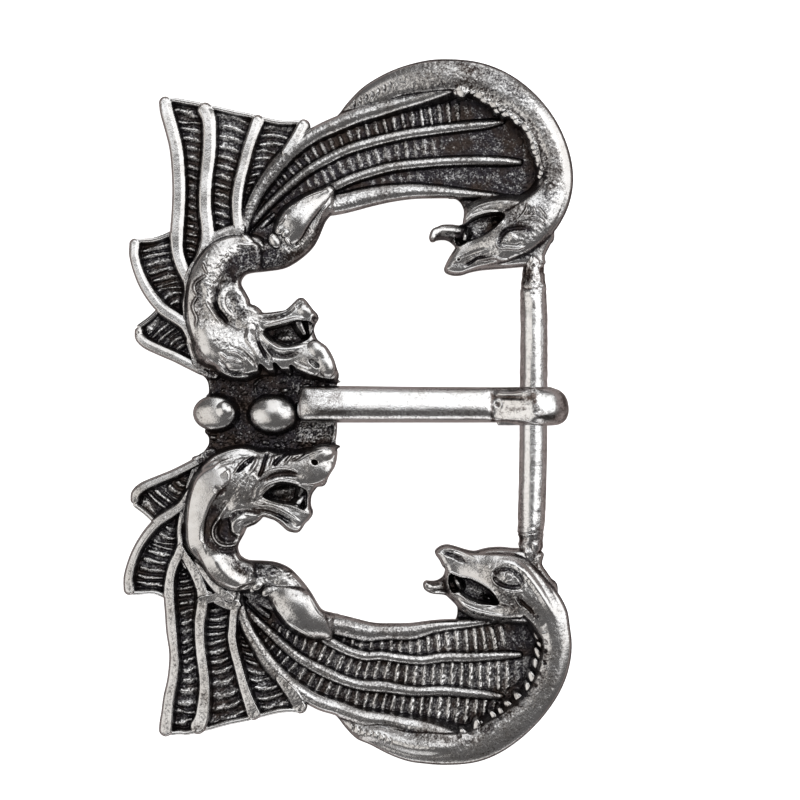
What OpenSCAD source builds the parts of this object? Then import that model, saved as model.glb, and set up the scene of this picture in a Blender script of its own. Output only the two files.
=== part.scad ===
// Cast belt buckle: two winged dragons and two serpents frame a strap window,
// with a round bar between the serpents' heads and a tongue that swings on it.
// The flat back lies on z = 0, +X points from the dragons to the bar, +Y along the bar.

/* [Strap and bar] */
// Clear width between the serpents' heads, which takes a 40 mm strap
strap_w = 40; // [39.6:0.1:40.2]
// Diameter of the bar
bar_d = 4; // [3.6:0.1:4.2]
// Distance of the bar from the buckle's middle
bar_x = 25.8; // [25.6:0.1:26]
// Height of the bar's axis above the flat back
bar_z = 4.3; // [4.2:0.05:4.4]
// Diameter of the turned-down ends that sit in the heads
tenon_d = 2.4; // [2:0.1:2.5]

/* [Tongue] */
// Width of the tongue
tongue_w = 5; // [4.4:0.1:5.2]
// Thickness of the tongue's shank
tongue_t = 3.2; // [2.6:0.1:3.3]
// Sideways place of the tongue on the bar
tongue_y = 1; // [0:0.1:1.2]
// Place of the tongue's tip, measured from the buckle's middle
tongue_tip_x = -7.1; // [-7.4:0.1:-6.4]
// Wall-to-bar clearance inside the tongue's loop
loop_gap = 0.15; // [0.1:0.05:0.25]

/* [Casting] */
// Thickness of the thin web inside wings and fins
web_z = 1.9; // [1.4:0.1:2.2]
// Thickness of the middle plate that carries the tongue's tip
plate_z = 2.6; // [2:0.1:2.7]
// Draft of the casting's side walls, as the share of a section's foot that its top keeps
top_share = 0.5; // [0.4:0.05:0.7]

/* [Hidden] */
// Columns of every section table: place x and y, half width of the foot, height of the top
X = 0;
Y = 1;
W = 2;
Z = 3;
fit = 0.05;
head_y = strap_w / 2 + 0.55;
low_head_y = head_y - strap_w;
tenon_len = 2.2;
taper_len = 1.2;
socket_len = tenon_len + 0.3;
boss_r = 1.7;
boss_len = 4.2;
shank_z = plate_z + 0.15;
loop_r = 3.75;
loop_dx = 1.4;
loop_over = 0.4;
loop_end_r = 3.6;
tail_x = 20.6;
tail_t = 1.3;
step_x = 20.3;
step_drop = 0.8;
tip_r = 3.3;
tip_len = 1.6;
tip_drop = 1.0;
crown_r = 4.4;
loop_top = 3.2;
loop_fall = 2.2;
round_n = 64;
// Side of the blocks that only trim other shapes
trim = 20;
// How far a web's corner lies inside the end of its rib, as a share of the rib's first step
end_share = 0.3;
// Corner of the wing's web under the serpent, and its start under the haunch
wing_corner = [24.5, 29.5];
wing_start = [-8.0, 25.0];
// Shift that puts the middle of the whole outline on the origin
centre = [0.07, 0.0];

// How the lower half, carved by hand, differs from the mirrored upper half:
// columns are the place x, y in the upper half and the move in x, y
carved = [
    [-25.6, 44.0, 0.0, 1.2], [-20.3, 43.0, -1.0, 1.7], [-12.8, 41.0, -0.6, 1.5], [-24.8, 36.0, -0.3, 0.5],
    [-24.8, 27.0, -0.9, 0.7], [-20.0, 33.0, -0.8, 0.5], [-15.3, 33.0, -0.9, 0.6], [-15.3, 27.0, -0.6, 1.5],
    [-22.0, 19.0, -1.0, 1.0], [-30.3, 23.0, -0.8, 1.3], [-27.0, 14.0, -0.6, 1.0], [-22.0, 8.0, -0.1, 0.9],
    [-9.3, 35.3, -0.9, 1.0], [-4.6, 39.1, -0.5, 1.2], [0.0, 42.0, -0.2, 1.0], [6.0, 47.0, 0.0, 0.3],
    [14.0, 48.0, 0.0, 0.0], [31.0, 33.0, -0.2, 0.0], [29.0, 26.0, 0.1, -0.5], [23.4, 24.5, -1.1, -1.6],
    [20.0, 20.3, -0.3, -1.0], [13.5, 21.0, -1.3, -0.5], [12.0, 25.0, -1.0, -0.5], [17.0, 28.0, -1.0, -1.0],
    [16.0, 31.4, 0.0, -0.9], [22.0, 35.0, 0.0, -1.0], [17.0, 40.0, 0.0, -0.7], [7.0, 35.0, 0.0, 0.0],
    [0.0, 34.0, -0.2, 0.9], [0.0, 28.5, -0.2, 0.7], [-3.0, 27.0, -1.0, 0.4], [-5.5, 23.5, -1.6, 0.4],
    [-12.0, 20.0, -0.1, 1.3], [-15.0, 17.0, -0.4, 1.0], [-6.0, 14.5, -0.7, 0.9], [-11.0, 11.0, 0.0, 0.5],
    [-3.0, 8.0, 0.1, 0.8], [-16.0, 6.0, 0.0, 0.5], [-10.0, 0.0, 0.0, 0.0], [-19.0, 2.5, -0.2, 0.2],
];

// Section tables of the upper half: [x, y, half width, height]
fin_a = [
    [-25.6, 44.3, 0.45, 2.6], [-25.7, 43.4, 0.9, 3.0], [-25.5, 42.0, 0.95, 3.2],
    [-24.8, 39.5, 0.95, 3.3], [-24.2, 37.0, 0.95, 3.4],
    [-23.9, 34.0, 0.95, 3.4], [-23.8, 31.0, 0.95, 3.4], [-23.9, 28.0, 0.95, 3.4], [-24.1, 25.0, 0.95, 3.5],
    [-24.0, 22.6, 0.85, 3.5], [-23.4, 20.5, 0.85, 3.6], [-22.6, 18.8, 0.8, 3.7], [-22.4, 17.2, 0.6, 3.7],
    [-22.75, 15.5, 0.5, 3.7], [-22.7, 13.8, 0.5, 3.7], [-22.3, 12.3, 0.5, 3.8],
];
fin_b = [
    [-20.2, 43.4, 0.7, 2.8], [-20.1, 42.5, 1.2, 3.1], [-19.6, 41.0, 1.0, 3.3],
    [-19.5, 38.5, 0.95, 3.4], [-19.6, 36.0, 0.95, 3.4],
    [-19.9, 33.5, 0.9, 3.4], [-20.1, 31.0, 0.9, 3.5], [-20.1, 28.5, 0.9, 3.5], [-19.8, 26.0, 0.9, 3.6],
    [-19.8, 24.0, 0.95, 3.7], [-20.6, 21.6, 0.85, 3.8], [-21.7, 19.5, 0.8, 3.8], [-22.5, 17.9, 0.6, 3.8],
];
fin_c = [
    [-12.7, 41.6, 0.6, 2.8], [-12.8, 40.8, 1.05, 3.1], [-13.3, 39.4, 0.8, 3.3],
    [-14.0, 37.3, 0.75, 3.4], [-14.6, 35.0, 0.75, 3.4],
    [-15.2, 32.7, 0.75, 3.5], [-15.6, 30.3, 0.75, 3.5], [-15.65, 28.0, 0.7, 3.5], [-15.4, 26.0, 0.75, 3.6],
    [-15.2, 24.3, 0.8, 3.7],
];
fin_d = [[-5.9, 41.0, 0.5, 2.8], [-6.4, 40.2, 1.0, 3.0], [-7.3, 38.4, 0.85, 3.3], [-8.8, 36.4, 0.6, 3.4]];
fin_root = [
    [-20.0, 24.0, 0.7, 3.6], [-18.4, 24.7, 0.7, 3.6], [-16.8, 25.3, 0.7, 3.6], [-15.3, 25.6, 0.8, 3.7],
];
crest_a = [
    [-29.8, 24.3, 0.35, 2.7], [-30.0, 23.4, 0.7, 3.0], [-30.1, 22.0, 0.7, 3.2],
    [-29.6, 20.0, 0.7, 3.3], [-28.7, 17.9, 0.75, 3.4],
    [-27.4, 15.9, 0.8, 3.5], [-25.9, 14.3, 0.8, 3.6], [-24.2, 13.2, 0.8, 3.7], [-22.9, 12.2, 0.75, 3.8],
    [-22.2, 10.8, 0.65, 3.9], [-21.5, 9.2, 0.55, 4.0],
];
crest_b = [
    [-29.4, 11.9, 0.3, 2.8], [-29.5, 11.2, 0.5, 3.0], [-29.3, 10.4, 0.65, 3.1],
    [-28.3, 9.5, 0.7, 3.2], [-26.4, 8.6, 0.7, 3.3],
    [-24.3, 7.7, 0.7, 3.4], [-22.3, 6.7, 0.7, 3.5], [-20.4, 5.8, 0.7, 3.6], [-18.8, 5.3, 0.6, 3.6],
];
wing_a = [
    [-15.2, 24.6, 0.9, 3.8], [-14.4, 27.0, 0.75, 3.7], [-13.6, 29.0, 0.75, 3.7], [-12.6, 31.0, 0.8, 3.7],
    [-11.1, 33.2, 0.95, 3.7], [-9.3, 35.4, 1.0, 3.7], [-7.2, 37.4, 1.0, 3.7], [-4.6, 39.1, 1.0, 3.7],
    [-2.0, 40.3, 1.05, 3.8], [1.0, 41.5, 1.0, 3.9], [4.0, 42.4, 1.0, 4.0], [7.0, 43.3, 0.95, 4.1],
    [10.0, 44.1, 0.9, 4.2], [13.0, 44.8, 0.6, 4.3],
];
wing_b = [
    [-14.0, 26.0, 0.4, 2.9], [-12.6, 27.6, 0.45, 3.0], [-11.2, 29.1, 0.5, 3.0], [-9.0, 31.2, 0.55, 3.1],
    [-6.0, 33.7, 0.6, 3.2], [-3.0, 35.5, 0.65, 3.2], [0.0, 36.9, 0.65, 3.3], [4.0, 38.1, 0.65, 3.3],
    [8.0, 39.0, 0.65, 3.3], [12.0, 39.6, 0.65, 3.2], [16.0, 40.1, 0.65, 3.1], [19.0, 40.4, 0.6, 3.0],
    [21.5, 40.8, 0.4, 2.6],
];
wing_c_root = [[-13.3, 25.0, 0.4, 2.9], [-11.8, 26.4, 0.4, 2.8], [-10.5, 27.6, 0.35, 2.6]];
wing_c = [
    [-2.8, 31.2, 0.6, 3.4], [0.0, 32.6, 0.6, 3.3], [3.0, 33.6, 0.6, 3.3], [6.0, 34.4, 0.6, 3.3],
    [10.0, 34.9, 0.6, 3.2], [14.0, 35.2, 0.6, 3.1], [18.0, 35.3, 0.6, 3.1], [22.0, 35.2, 0.55, 3.0],
    [24.0, 35.1, 0.4, 2.6],
];
wing_d = [
    [-2.6, 28.8, 1.3, 3.5], [0.0, 29.5, 1.4, 3.4], [3.0, 30.3, 1.35, 3.4], [6.0, 30.85, 1.3, 3.3],
    [9.0, 31.2, 1.25, 3.3], [12.0, 31.3, 1.25, 3.3], [15.0, 31.2, 1.2, 3.2], [17.5, 31.0, 0.9, 3.0],
    [20.0, 30.6, 0.6, 2.8],
];
serpent = [
    [-1.3, 41.5, 0.3, 2.2], [0.6, 42.9, 1.0, 3.2], [3.2, 44.4, 1.75, 4.0], [7.0, 46.1, 2.05, 4.9],
    [11.0, 46.9, 2.35, 5.4], [14.2, 47.1, 2.3, 5.7], [17.5, 46.7, 2.35, 5.9], [20.5, 45.7, 2.35, 6.0],
    [23.2, 43.9, 2.4, 6.1], [25.5, 41.6, 2.4, 6.2], [27.3, 38.8, 2.45, 6.3], [28.6, 35.6, 2.4, 6.4],
    [29.1, 32.5, 2.35, 6.5], [28.6, 29.6, 2.3, 6.6], [27.4, 27.0, 2.2, 6.7], [26.2, 25.0, 1.8, 6.4],
];
serpent_skull = [
    [13.5, 20.3, 0.4, 3.4], [14.2, 20.5, 1.1, 4.1], [15.2, 21.0, 1.7, 4.8], [17.0, 21.9, 2.0, 5.5],
    [19.0, 22.6, 2.35, 6.2], [21.2, 23.6, 2.9, 6.9], [23.5, 25.1, 3.5, 7.3], [25.8, 27.0, 3.2, 7.2],
    [27.7, 29.3, 2.4, 6.8], [28.6, 31.4, 1.8, 6.2],
];
serpent_jaw = [
    [16.2, 26.6, 0.4, 3.8], [17.0, 27.5, 0.55, 4.6], [18.3, 28.3, 0.65, 5.0], [20.0, 28.8, 0.8, 5.4],
    [22.0, 28.8, 1.0, 5.9], [24.6, 28.0, 1.6, 6.6],
];
serpent_tongue = [
    [16.4, 24.9, 1.3, 3.0], [14.5, 25.3, 1.05, 3.4], [13.0, 25.35, 0.9, 3.8], [12.15, 25.0, 0.75, 4.1],
    [11.85, 24.5, 0.5, 4.1],
];
neck = [
    [-11.5, 22.2, 2.1, 4.6], [-13.8, 22.2, 2.4, 5.0], [-16.0, 21.5, 2.5, 5.5], [-17.8, 20.0, 2.3, 5.8],
    [-19.1, 17.9, 2.0, 5.9], [-19.5, 15.6, 2.0, 6.0], [-19.2, 13.1, 2.2, 6.1], [-18.3, 10.8, 2.7, 6.2],
    [-16.8, 9.0, 3.0, 6.2],
];
haunch = [
    [-11.6, 23.2, 1.3, 4.4], [-9.4, 24.5, 1.9, 5.0], [-7.3, 26.3, 2.0, 5.4], [-5.3, 28.3, 1.75, 5.2],
    [-3.7, 29.9, 1.35, 4.5], [-2.6, 31.0, 0.7, 3.7],
];
dragon_skull = [
    [-16.2, 8.4, 3.3, 6.3], [-13.5, 8.4, 3.4, 6.4], [-11.0, 7.8, 2.3, 6.1], [-9.0, 7.6, 1.8, 5.8],
    [-7.0, 7.7, 1.95, 5.9], [-5.0, 7.4, 2.35, 6.1], [-3.4, 6.9, 2.2, 5.8], [-2.2, 6.0, 1.6, 5.0],
    [-1.5, 5.3, 0.7, 4.2],
];
dragon_jaw = [
    [-14.5, 12.4, 1.5, 5.7], [-12.2, 12.7, 1.1, 5.4], [-9.8, 13.1, 1.0, 5.2], [-7.8, 13.5, 1.1, 5.2],
    [-6.2, 13.9, 1.1, 5.0], [-5.0, 13.5, 0.75, 4.4],
    [-4.3, 13.1, 0.3, 3.8],
];
// Short horns, tusks, teeth and eyes: [x1, y1, z1, r1, x2, y2, z2, r2]
bumps = [
    [-8.0, 14.4, 3.8, 0.7, -6.7, 15.2, 4.0, 0.7], [-6.4, 12.6, 4.0, 0.5, -5.9, 10.6, 4.0, 0.45],
    [-5.2, 12.8, 3.6, 0.45, -5.0, 10.2, 3.6, 0.45], [-10.9, 6.6, 4.4, 0.6, -10.4, 5.6, 3.4, 0.35],
    [-8.9, 6.4, 4.2, 0.6, -8.3, 5.5, 3.4, 0.35], [-16.6, 6.9, 5.3, 1.1, -15.4, 6.4, 5.3, 1.0],
    [-15.4, 15.2, 3.6, 1.0, -13.2, 14.3, 3.4, 0.8], [22.9, 24.2, 6.3, 0.95, 23.8, 24.7, 6.3, 0.95],
    [-14.3, 24.4, 3.6, 0.7, -13.5, 23.6, 3.8, 0.8],
];
// Curl behind the dragon's cheek: centre, radius, half width, height, first and last angle
curl = [-16.2, 15.7, 1.75, 0.6, 5.2, 10, 250];
// Outline of the foot under the dragon's body, first along the strap window
body_foot = [
    [-1.0, 30.0], [-1.0, 28.0], [-2.4, 27.4], [-3.4, 26.4], [-4.1, 24.5], [-5.2, 22.8], [-7.2, 21.1],
    [-9.5, 20.1], [-12.0, 19.75], [-14.6, 19.5], [-15.05, 18.3], [-14.2, 15.8], [-12.6, 14.5],
    [-11.8, 13.9], [-17.0, 12.0], [-19.0, 20.0], [-14.0, 24.0], [-6.0, 29.0],
];
// Floor of the dragon's open mouth, and the web in the corner of the serpent's jaw
mouth_floor = [[-16.0, 8.0], [-3.5, 8.0], [-4.8, 12.5], [-6.0, 14.0], [-16.0, 13.5]];
jaw_web = [
    [24.5, 31.0], [15.0, 31.2], [15.0, 30.0], [15.8, 29.4], [16.25, 28.4], [16.1, 26.3], [14.6, 26.35],
    [14.7, 23.7], [15.1, 23.0], [22.0, 24.0],
];
// Web behind the neck, down to the middle plate
neck_web = [
    [-22.4, 18.4], [-22.8, 15.0], [-22.5, 12.0], [-22.4, 9.5], [-21.8, 6.8], [-19.5, 5.4], [-12.0, 6.0],
    [-14.0, 13.0], [-16.5, 14.5], [-17.0, 18.0], [-14.5, 21.5], [-11.5, 23.5], [-11.8, 26.5],
    [-14.0, 28.0], [-16.2, 27.0], [-19.8, 24.2], [-21.0, 21.0],
];
// Middle plate, upper half and a little past the middle, from the tongue's side round to the ball
plate_edge = [
    [-1.7, -0.6], [-1.7, 3.9], [-2.5, 6.0], [-12.0, 8.0], [-19.0, 7.5], [-21.2, 5.5], [-20.3, 4.9],
    [-20.6, -0.6],
];
// Round notch in the plate's left edge: x, y, radius
plate_notch = [-20.6, 3.6, 1.35];
// Round bosses on the plate: [x, y, half length, half width, height]
domes = [[-19.6, -0.25, 2.15, 2.15, 5.0], [-17.25, 0.4, 0.8, 0.75, 4.2], [-10.7, -0.2, 3.2, 2.05, 4.9]];
// Half profiles across a section, from the middle outwards: [share of half width, share of height]
rib_profile = [[1, 0], [(1 + top_share) / 2, 0.55], [top_share, 0.94], [0, 1]];
body_profile = [[1, 0], [0.97, 0.4], [0.8, 0.74], [0.45, 0.95], [0, 1]];

function mirrored(half) = concat(half, [for (i = [len(half) - 2:-1:0]) [-half[i][0], half[i][1]]]);
function weight(p, m) = 1 / pow(0.5 + pow(p[X] - m[X], 2) + pow(p[Y] - m[Y], 2), 2);
function total(v, i = 0) = i == len(v) ? 0 : v[i] + total(v, i + 1);
// A point of the upper half, or its hand-carved twin in the lower half
function placed(p, side) =
    side > 0 ? p : let (
        w = [for (m = carved) weight(p, m)],
        dx = total([for (i = [0:len(w) - 1]) w[i] * carved[i][2]]) / total(w),
        dy = total([for (i = [0:len(w) - 1]) w[i] * carved[i][3]]) / total(w)
    ) concat([p[X] + dx, -p[Y] - dy], [for (i = [2:1:len(p) - 1]) p[i]]);
function table_on(rows, side) = [for (r = rows) placed(r, side)];
function held(v, i) = v[max(0, min(len(v) - 1, i))];
function spline(a, b, c, d, t) =
    0.5 * (2 * b + (c - a) * t + (2 * a - 5 * b + 4 * c - d) * t * t
        + (3 * b - a - 3 * c + d) * t * t * t);
function smoothed(v, n) = n < 2 ? v : concat([
    for (i = [0:len(v) - 2], k = [0:n - 1])
        spline(held(v, i - 1), v[i], v[i + 1], held(v, i + 2), k / n)
], [v[len(v) - 1]]);
function across(v, i) =
    let (a = held(v, i - 1), b = held(v, i + 1), d = [b[X] - a[X], b[Y] - a[Y]]) [-d[1], d[0]] / norm(d);

// A solid with a flat foot whose sections follow a table
module sweep(rows, profile, side, n = 1) {
    v = smoothed(table_on(rows, side), n);
    p = mirrored(profile);
    m = len(p);
    last = len(v) - 1;
    points = [
        for (i = [0:last], q = p)
            let (a = across(v, i) * q[0] * v[i][W]) [v[i][X] + a[0], v[i][Y] + a[1], v[i][Z] * q[1]]
    ];
    walls = [
        for (i = [0:last - 1], k = [0:m - 1])
            let (j = (k + 1) % m) [i * m + k, (i + 1) * m + k, (i + 1) * m + j, i * m + j]
    ];
    ends = [[for (k = [0:m - 1]) k], [for (k = [m - 1:-1:0]) last * m + k]];
    polyhedron(points, concat(walls, ends), convexity = 6);
}

function between(a, b) = a + (b - a) * end_share;
// Middle line of a table with its two ends drawn in, so that a web starts inside its rib
function line_of(rows) =
    let (p = [for (r = rows) [r[X], r[Y]]], n = len(p) - 1)
        concat([between(p[0], p[1])], [for (i = [1:n - 1]) p[i]], [between(p[n], p[n - 1])]);
function backwards(v) = [for (i = [len(v) - 1:-1:0]) v[i]];
// Points of an edge that sags by a share of its span between two tips
function sagged(a, b, sag, n = 6) =
    let (d = b - a, q = [-d[1], d[0]])
        [for (i = [1:n - 1]) a + d * i / n - q * sag * 4 * (i / n) * (1 - i / n)];

// Thin web between two ribs, with a sagging free edge between their first points
module web(rib_1, rib_2, sag, side, z = web_z) {
    a = line_of(rib_1);
    b = line_of(rib_2);
    edge = concat(backwards(a), sagged(a[0], b[0], sag), b);
    linear_extrude(z) polygon([for (p = edge) placed(p, side)]);
}

module slab(edge, side, z) {
    linear_extrude(z) polygon([for (p = edge) placed(p, side)]);
}

// A tooth, horn or eye between two round ends
module bump(b, side) {
    p = placed([b[0], b[1]], side);
    q = placed([b[4], b[5]], side);
    hull() {
        translate([p[X], p[Y], b[2]]) sphere(b[3], $fn = 8);
        translate([q[X], q[Y], b[6]]) sphere(b[7], $fn = 8);
        translate([p[X], p[Y], 0.5]) cylinder(r = b[3], h = 0.5, $fn = 8);
        translate([q[X], q[Y], 0.5]) cylinder(r = b[7], h = 0.5, $fn = 8);
    }
}

module fin(side) {
    for (rib = [fin_a, fin_b, fin_c, fin_d, fin_root, crest_a, crest_b]) sweep(rib, rib_profile, side);
    web(fin_a, fin_b, 0.13, side);
    web(fin_b, fin_c, 0.1, side);
    web(fin_c, concat(fin_d, backwards([for (i = [0:5]) wing_a[i]])), 0.13, side);
    web(crest_a, [for (i = [8:len(fin_a) - 1]) fin_a[i]], 0.18, side);
    web(crest_b, [for (i = [5:len(crest_a) - 1]) crest_a[i]], 0.2, side);
}

module wing(side) {
    for (rib = [wing_a, wing_b, wing_c_root, wing_c, wing_d]) sweep(rib, rib_profile, side);
    back = line_of([for (i = [1:len(serpent) - 1]) serpent[i]]);
    front = line_of([for (i = [0:10]) wing_a[i]]);
    slab(concat(front, back, [wing_corner], backwards(line_of(wing_d)), [wing_start]), side, web_z);
    slab(jaw_web, side, web_z);
}

module serpent_body(side) {
    sweep(serpent, body_profile, side, 2);
    sweep(serpent_skull, body_profile, side);
    sweep(serpent_jaw, body_profile, side);
    sweep(serpent_tongue, body_profile, side);
}

module dragon_body(side) {
    for (part = [neck, haunch, dragon_skull, dragon_jaw]) sweep(part, body_profile, side);
    arc_n = 8;
    sweep([
        for (i = [0:arc_n])
            let (a = curl[5] + (curl[6] - curl[5]) * i / arc_n)
                [curl[0] + curl[2] * cos(a), curl[1] + curl[2] * sin(a), curl[3], curl[4]]
    ], body_profile, side);
    slab(body_foot, side, plate_z);
    slab(neck_web, side, web_z);
    slab(mouth_floor, side, web_z);
}

module middle_plate(side) {
    difference() {
        slab(plate_edge, side, plate_z);
        p = placed([plate_notch[0], plate_notch[1]], side);
        translate([p[X], p[Y], -1]) cylinder(r = plate_notch[2], h = plate_z + 2, $fn = 20);
    }
}

module dome(d) {
    translate([d[0], d[1], 0]) resize([2 * d[2], 2 * d[3], 2 * d[4]]) sphere(10, $fn = 16);
}

// Boss of a serpent's head that takes one end of the bar, and its blind socket
module at_bar_end(side) {
    y = side > 0 ? head_y : low_head_y;
    translate([bar_x, y, bar_z]) rotate([side > 0 ? -90 : 90, 0, 0]) children();
}

module buckle_frame() {
    color("silver")
        translate([centre[X], centre[Y], 0]) {
            difference() {
                union() {
                    for (side = [1, -1]) {
                        fin(side);
                        wing(side);
                        serpent_body(side);
                        dragon_body(side);
                        middle_plate(side);
                        for (b = bumps) bump(b, side);
                        at_bar_end(side) cylinder(r = boss_r, h = boss_len, $fn = 20);
                    }
                    for (d = domes) dome(d);
                }
                translate([0, 0, -trim / 2]) cube([8 * trim, 8 * trim, trim], center = true);
                for (side = [1, -1])
                    at_bar_end(side)
                        translate([0, 0, -1])
                            cylinder(d = tenon_d + 2 * fit, h = socket_len + 1, $fn = 24);
            }
        }
}

module hinge_bar() {
    color("lightgray")
        translate([centre[X], centre[Y], 0]) {
            bar_len = strap_w - 2 * taper_len - 2 * fit;
            translate([bar_x, low_head_y + taper_len + fit, bar_z])
                rotate([-90, 0, 0]) cylinder(d = bar_d, h = bar_len, $fn = round_n);
            for (side = [1, -1])
                at_bar_end(side) {
                    translate([0, 0, -taper_len - fit])
                        cylinder(d1 = bar_d, d2 = tenon_d + 0.4, h = taper_len, $fn = round_n);
                    translate([0, 0, -fit - 0.1]) cylinder(d = tenon_d, h = tenon_len + 0.1, $fn = round_n);
                }
        }
}

// Outline of the tongue from the side, with x to the bar and z up
module tongue_side() {
    top = shank_z + tongue_t;
    polygon([
        [tongue_tip_x, shank_z], [tongue_tip_x, top - tip_drop], [tongue_tip_x + tip_len, top], [step_x, top],
        [step_x + 0.5, top - step_drop], [bar_x - loop_fall, top - step_drop - 0.1],
        [bar_x, bar_z + loop_top], [bar_x + loop_dx, bar_z + loop_top], [bar_x + loop_dx, shank_z],
    ]);
    translate([bar_x + loop_dx, bar_z]) circle(loop_r, $fn = round_n);
}

// Strand of the strip that comes back under the bar
module tongue_under() {
    low = bar_z - loop_r;
    polygon([
        [tail_x, low + 0.4], [tail_x + 0.6, low], [bar_x + loop_dx, low], [bar_x + loop_dx, low + tail_t],
        [tail_x + 0.6, low + tail_t], [tail_x, low + tail_t - 0.3],
    ]);
    translate([bar_x + loop_dx, bar_z]) circle(loop_r - 0.02, $fn = round_n);
}

// Round end of the loop, seen from above
module loop_plan() {
    translate([bar_x + loop_dx + 0.25, tongue_y - loop_over / 2, -1])
        cylinder(r = loop_end_r, h = trim, $fn = round_n);
    translate([tail_x - 1, tongue_y - trim / 2, -1])
        cube([bar_x + loop_dx - tail_x + 1, trim, trim]);
}

module tongue() {
    color("gainsboro")
        translate([centre[X], centre[Y], 0])
            difference() {
                union() {
                    intersection() {
                        translate([0, tongue_y + tongue_w / 2, 0])
                            rotate([90, 0, 0]) linear_extrude(tongue_w) tongue_side();
                        union() {
                            translate([tongue_tip_x + tip_r, tongue_y, 0])
                                cylinder(r = tip_r, h = trim, $fn = round_n);
                            translate([tongue_tip_x + tip_r, tongue_y - trim / 2, 0])
                                cube([bar_x + loop_dx - tongue_tip_x - tip_r, trim, trim]);
                            loop_plan();
                        }
                        union() {
                            translate([-trim, tongue_y, shank_z + tongue_t - crown_r])
                                rotate([0, 90, 0]) cylinder(r = crown_r, h = trim + step_x, $fn = round_n);
                            translate([step_x - 0.01, tongue_y - trim / 2, 0]) cube(trim);
                        }
                    }
                    intersection() {
                        translate([0, tongue_y + tongue_w / 2 - loop_over, 0])
                            rotate([90, 0, 0]) linear_extrude(tongue_w) tongue_under();
                        loop_plan();
                    }
                }
                translate([bar_x, -trim / 2, bar_z])
                    rotate([-90, 0, 0]) cylinder(d = bar_d + 2 * loop_gap, h = trim, $fn = round_n);
            }
}

buckle_frame();
hinge_bar();
tongue();
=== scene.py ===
"""Looks of a cast belt buckle: blackened silver relief, polished bar and tongue, on a pale floor."""
import math

import bpy
import numpy as np
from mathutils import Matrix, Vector, geometry


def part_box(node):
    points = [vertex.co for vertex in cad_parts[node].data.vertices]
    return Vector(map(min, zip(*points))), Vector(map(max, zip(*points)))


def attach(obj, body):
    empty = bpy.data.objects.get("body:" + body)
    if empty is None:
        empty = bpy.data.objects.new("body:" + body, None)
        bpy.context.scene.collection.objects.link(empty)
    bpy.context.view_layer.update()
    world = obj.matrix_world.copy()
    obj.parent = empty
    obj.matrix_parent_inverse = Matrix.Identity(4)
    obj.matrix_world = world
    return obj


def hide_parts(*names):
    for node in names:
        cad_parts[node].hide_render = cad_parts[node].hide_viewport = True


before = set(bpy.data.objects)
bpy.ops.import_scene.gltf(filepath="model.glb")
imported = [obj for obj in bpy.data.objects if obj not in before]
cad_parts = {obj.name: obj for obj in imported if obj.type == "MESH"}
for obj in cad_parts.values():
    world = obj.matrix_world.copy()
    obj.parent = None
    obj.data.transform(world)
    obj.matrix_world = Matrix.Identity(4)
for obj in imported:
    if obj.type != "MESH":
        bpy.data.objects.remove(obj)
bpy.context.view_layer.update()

MM = 0.001

# The casting is sculpted as a height over the plan, in millimetres. Tables of the upper half have
# the columns x, y, half width and height. The lower half is the upper one mirrored and then moved a
# little, as hand carving does, by the table CARVED.
PITCH = 0.1  # cell of the grid of heights
CORNER = (-32.0, -50.0)  # lowest x and y of that grid
EXTENT = (64.0, 100.0)  # its size in x and y
CENTRE = (0.07, 0.0)  # where the tables' origin lies
BASE = 0.4  # height where nothing has been added yet
WEB = 1.75  # height of the webs
PLATE = 2.6  # height of the middle plate
TOP = 7.28  # nothing rises above this
OUTSIDE = -9.0  # distance from the outline where nothing has been added yet

# Columns: place x, y in the upper half, then the lower half's move in x and away from the middle
CARVED = [
    (-25.6, 44.0, 0.0, 1.2), (-20.3, 43.0, -1.0, 1.7), (-12.8, 41.0, -0.6, 1.5), (-24.8, 36.0, -0.3, 0.5),
    (-24.8, 27.0, -0.9, 0.7), (-20.0, 33.0, -0.8, 0.5), (-15.3, 33.0, -0.9, 0.6), (-15.3, 27.0, -0.6, 1.5),
    (-22.0, 19.0, -1.0, 1.0), (-30.3, 23.0, -0.8, 1.3), (-27.0, 14.0, -0.6, 1.0), (-22.0, 8.0, -0.1, 0.9),
    (-9.3, 35.3, -0.9, 1.0), (-4.6, 39.1, -0.5, 1.2), (0.0, 42.0, -0.2, 1.0), (6.0, 47.0, 0.0, 0.3),
    (14.0, 48.0, 0.0, 0.0), (31.0, 33.0, -0.2, 0.0), (29.0, 26.0, 0.1, -0.5), (23.4, 24.5, -1.1, -1.6),
    (20.0, 20.3, -0.3, -1.0), (13.5, 21.0, -1.3, -0.5), (12.0, 25.0, -1.0, -0.5), (17.0, 28.0, -1.0, -1.0),
    (16.0, 31.4, 0.0, -0.9), (22.0, 35.0, 0.0, -1.0), (17.0, 40.0, 0.0, -0.7), (7.0, 35.0, 0.0, 0.0),
    (0.0, 34.0, -0.2, 0.9), (0.0, 28.5, -0.2, 0.7), (-3.0, 27.0, -1.0, 0.4), (-5.5, 23.5, -1.6, 0.4),
    (-12.0, 20.0, -0.1, 1.3), (-15.0, 17.0, -0.4, 1.0), (-6.0, 14.5, -0.7, 0.9), (-11.0, 11.0, 0.0, 0.5),
    (-3.0, 8.0, 0.1, 0.8), (-16.0, 6.0, 0.0, 0.5), (-10.0, 0.0, 0.0, 0.0), (-19.0, 2.5, -0.2, 0.2),
]

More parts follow.
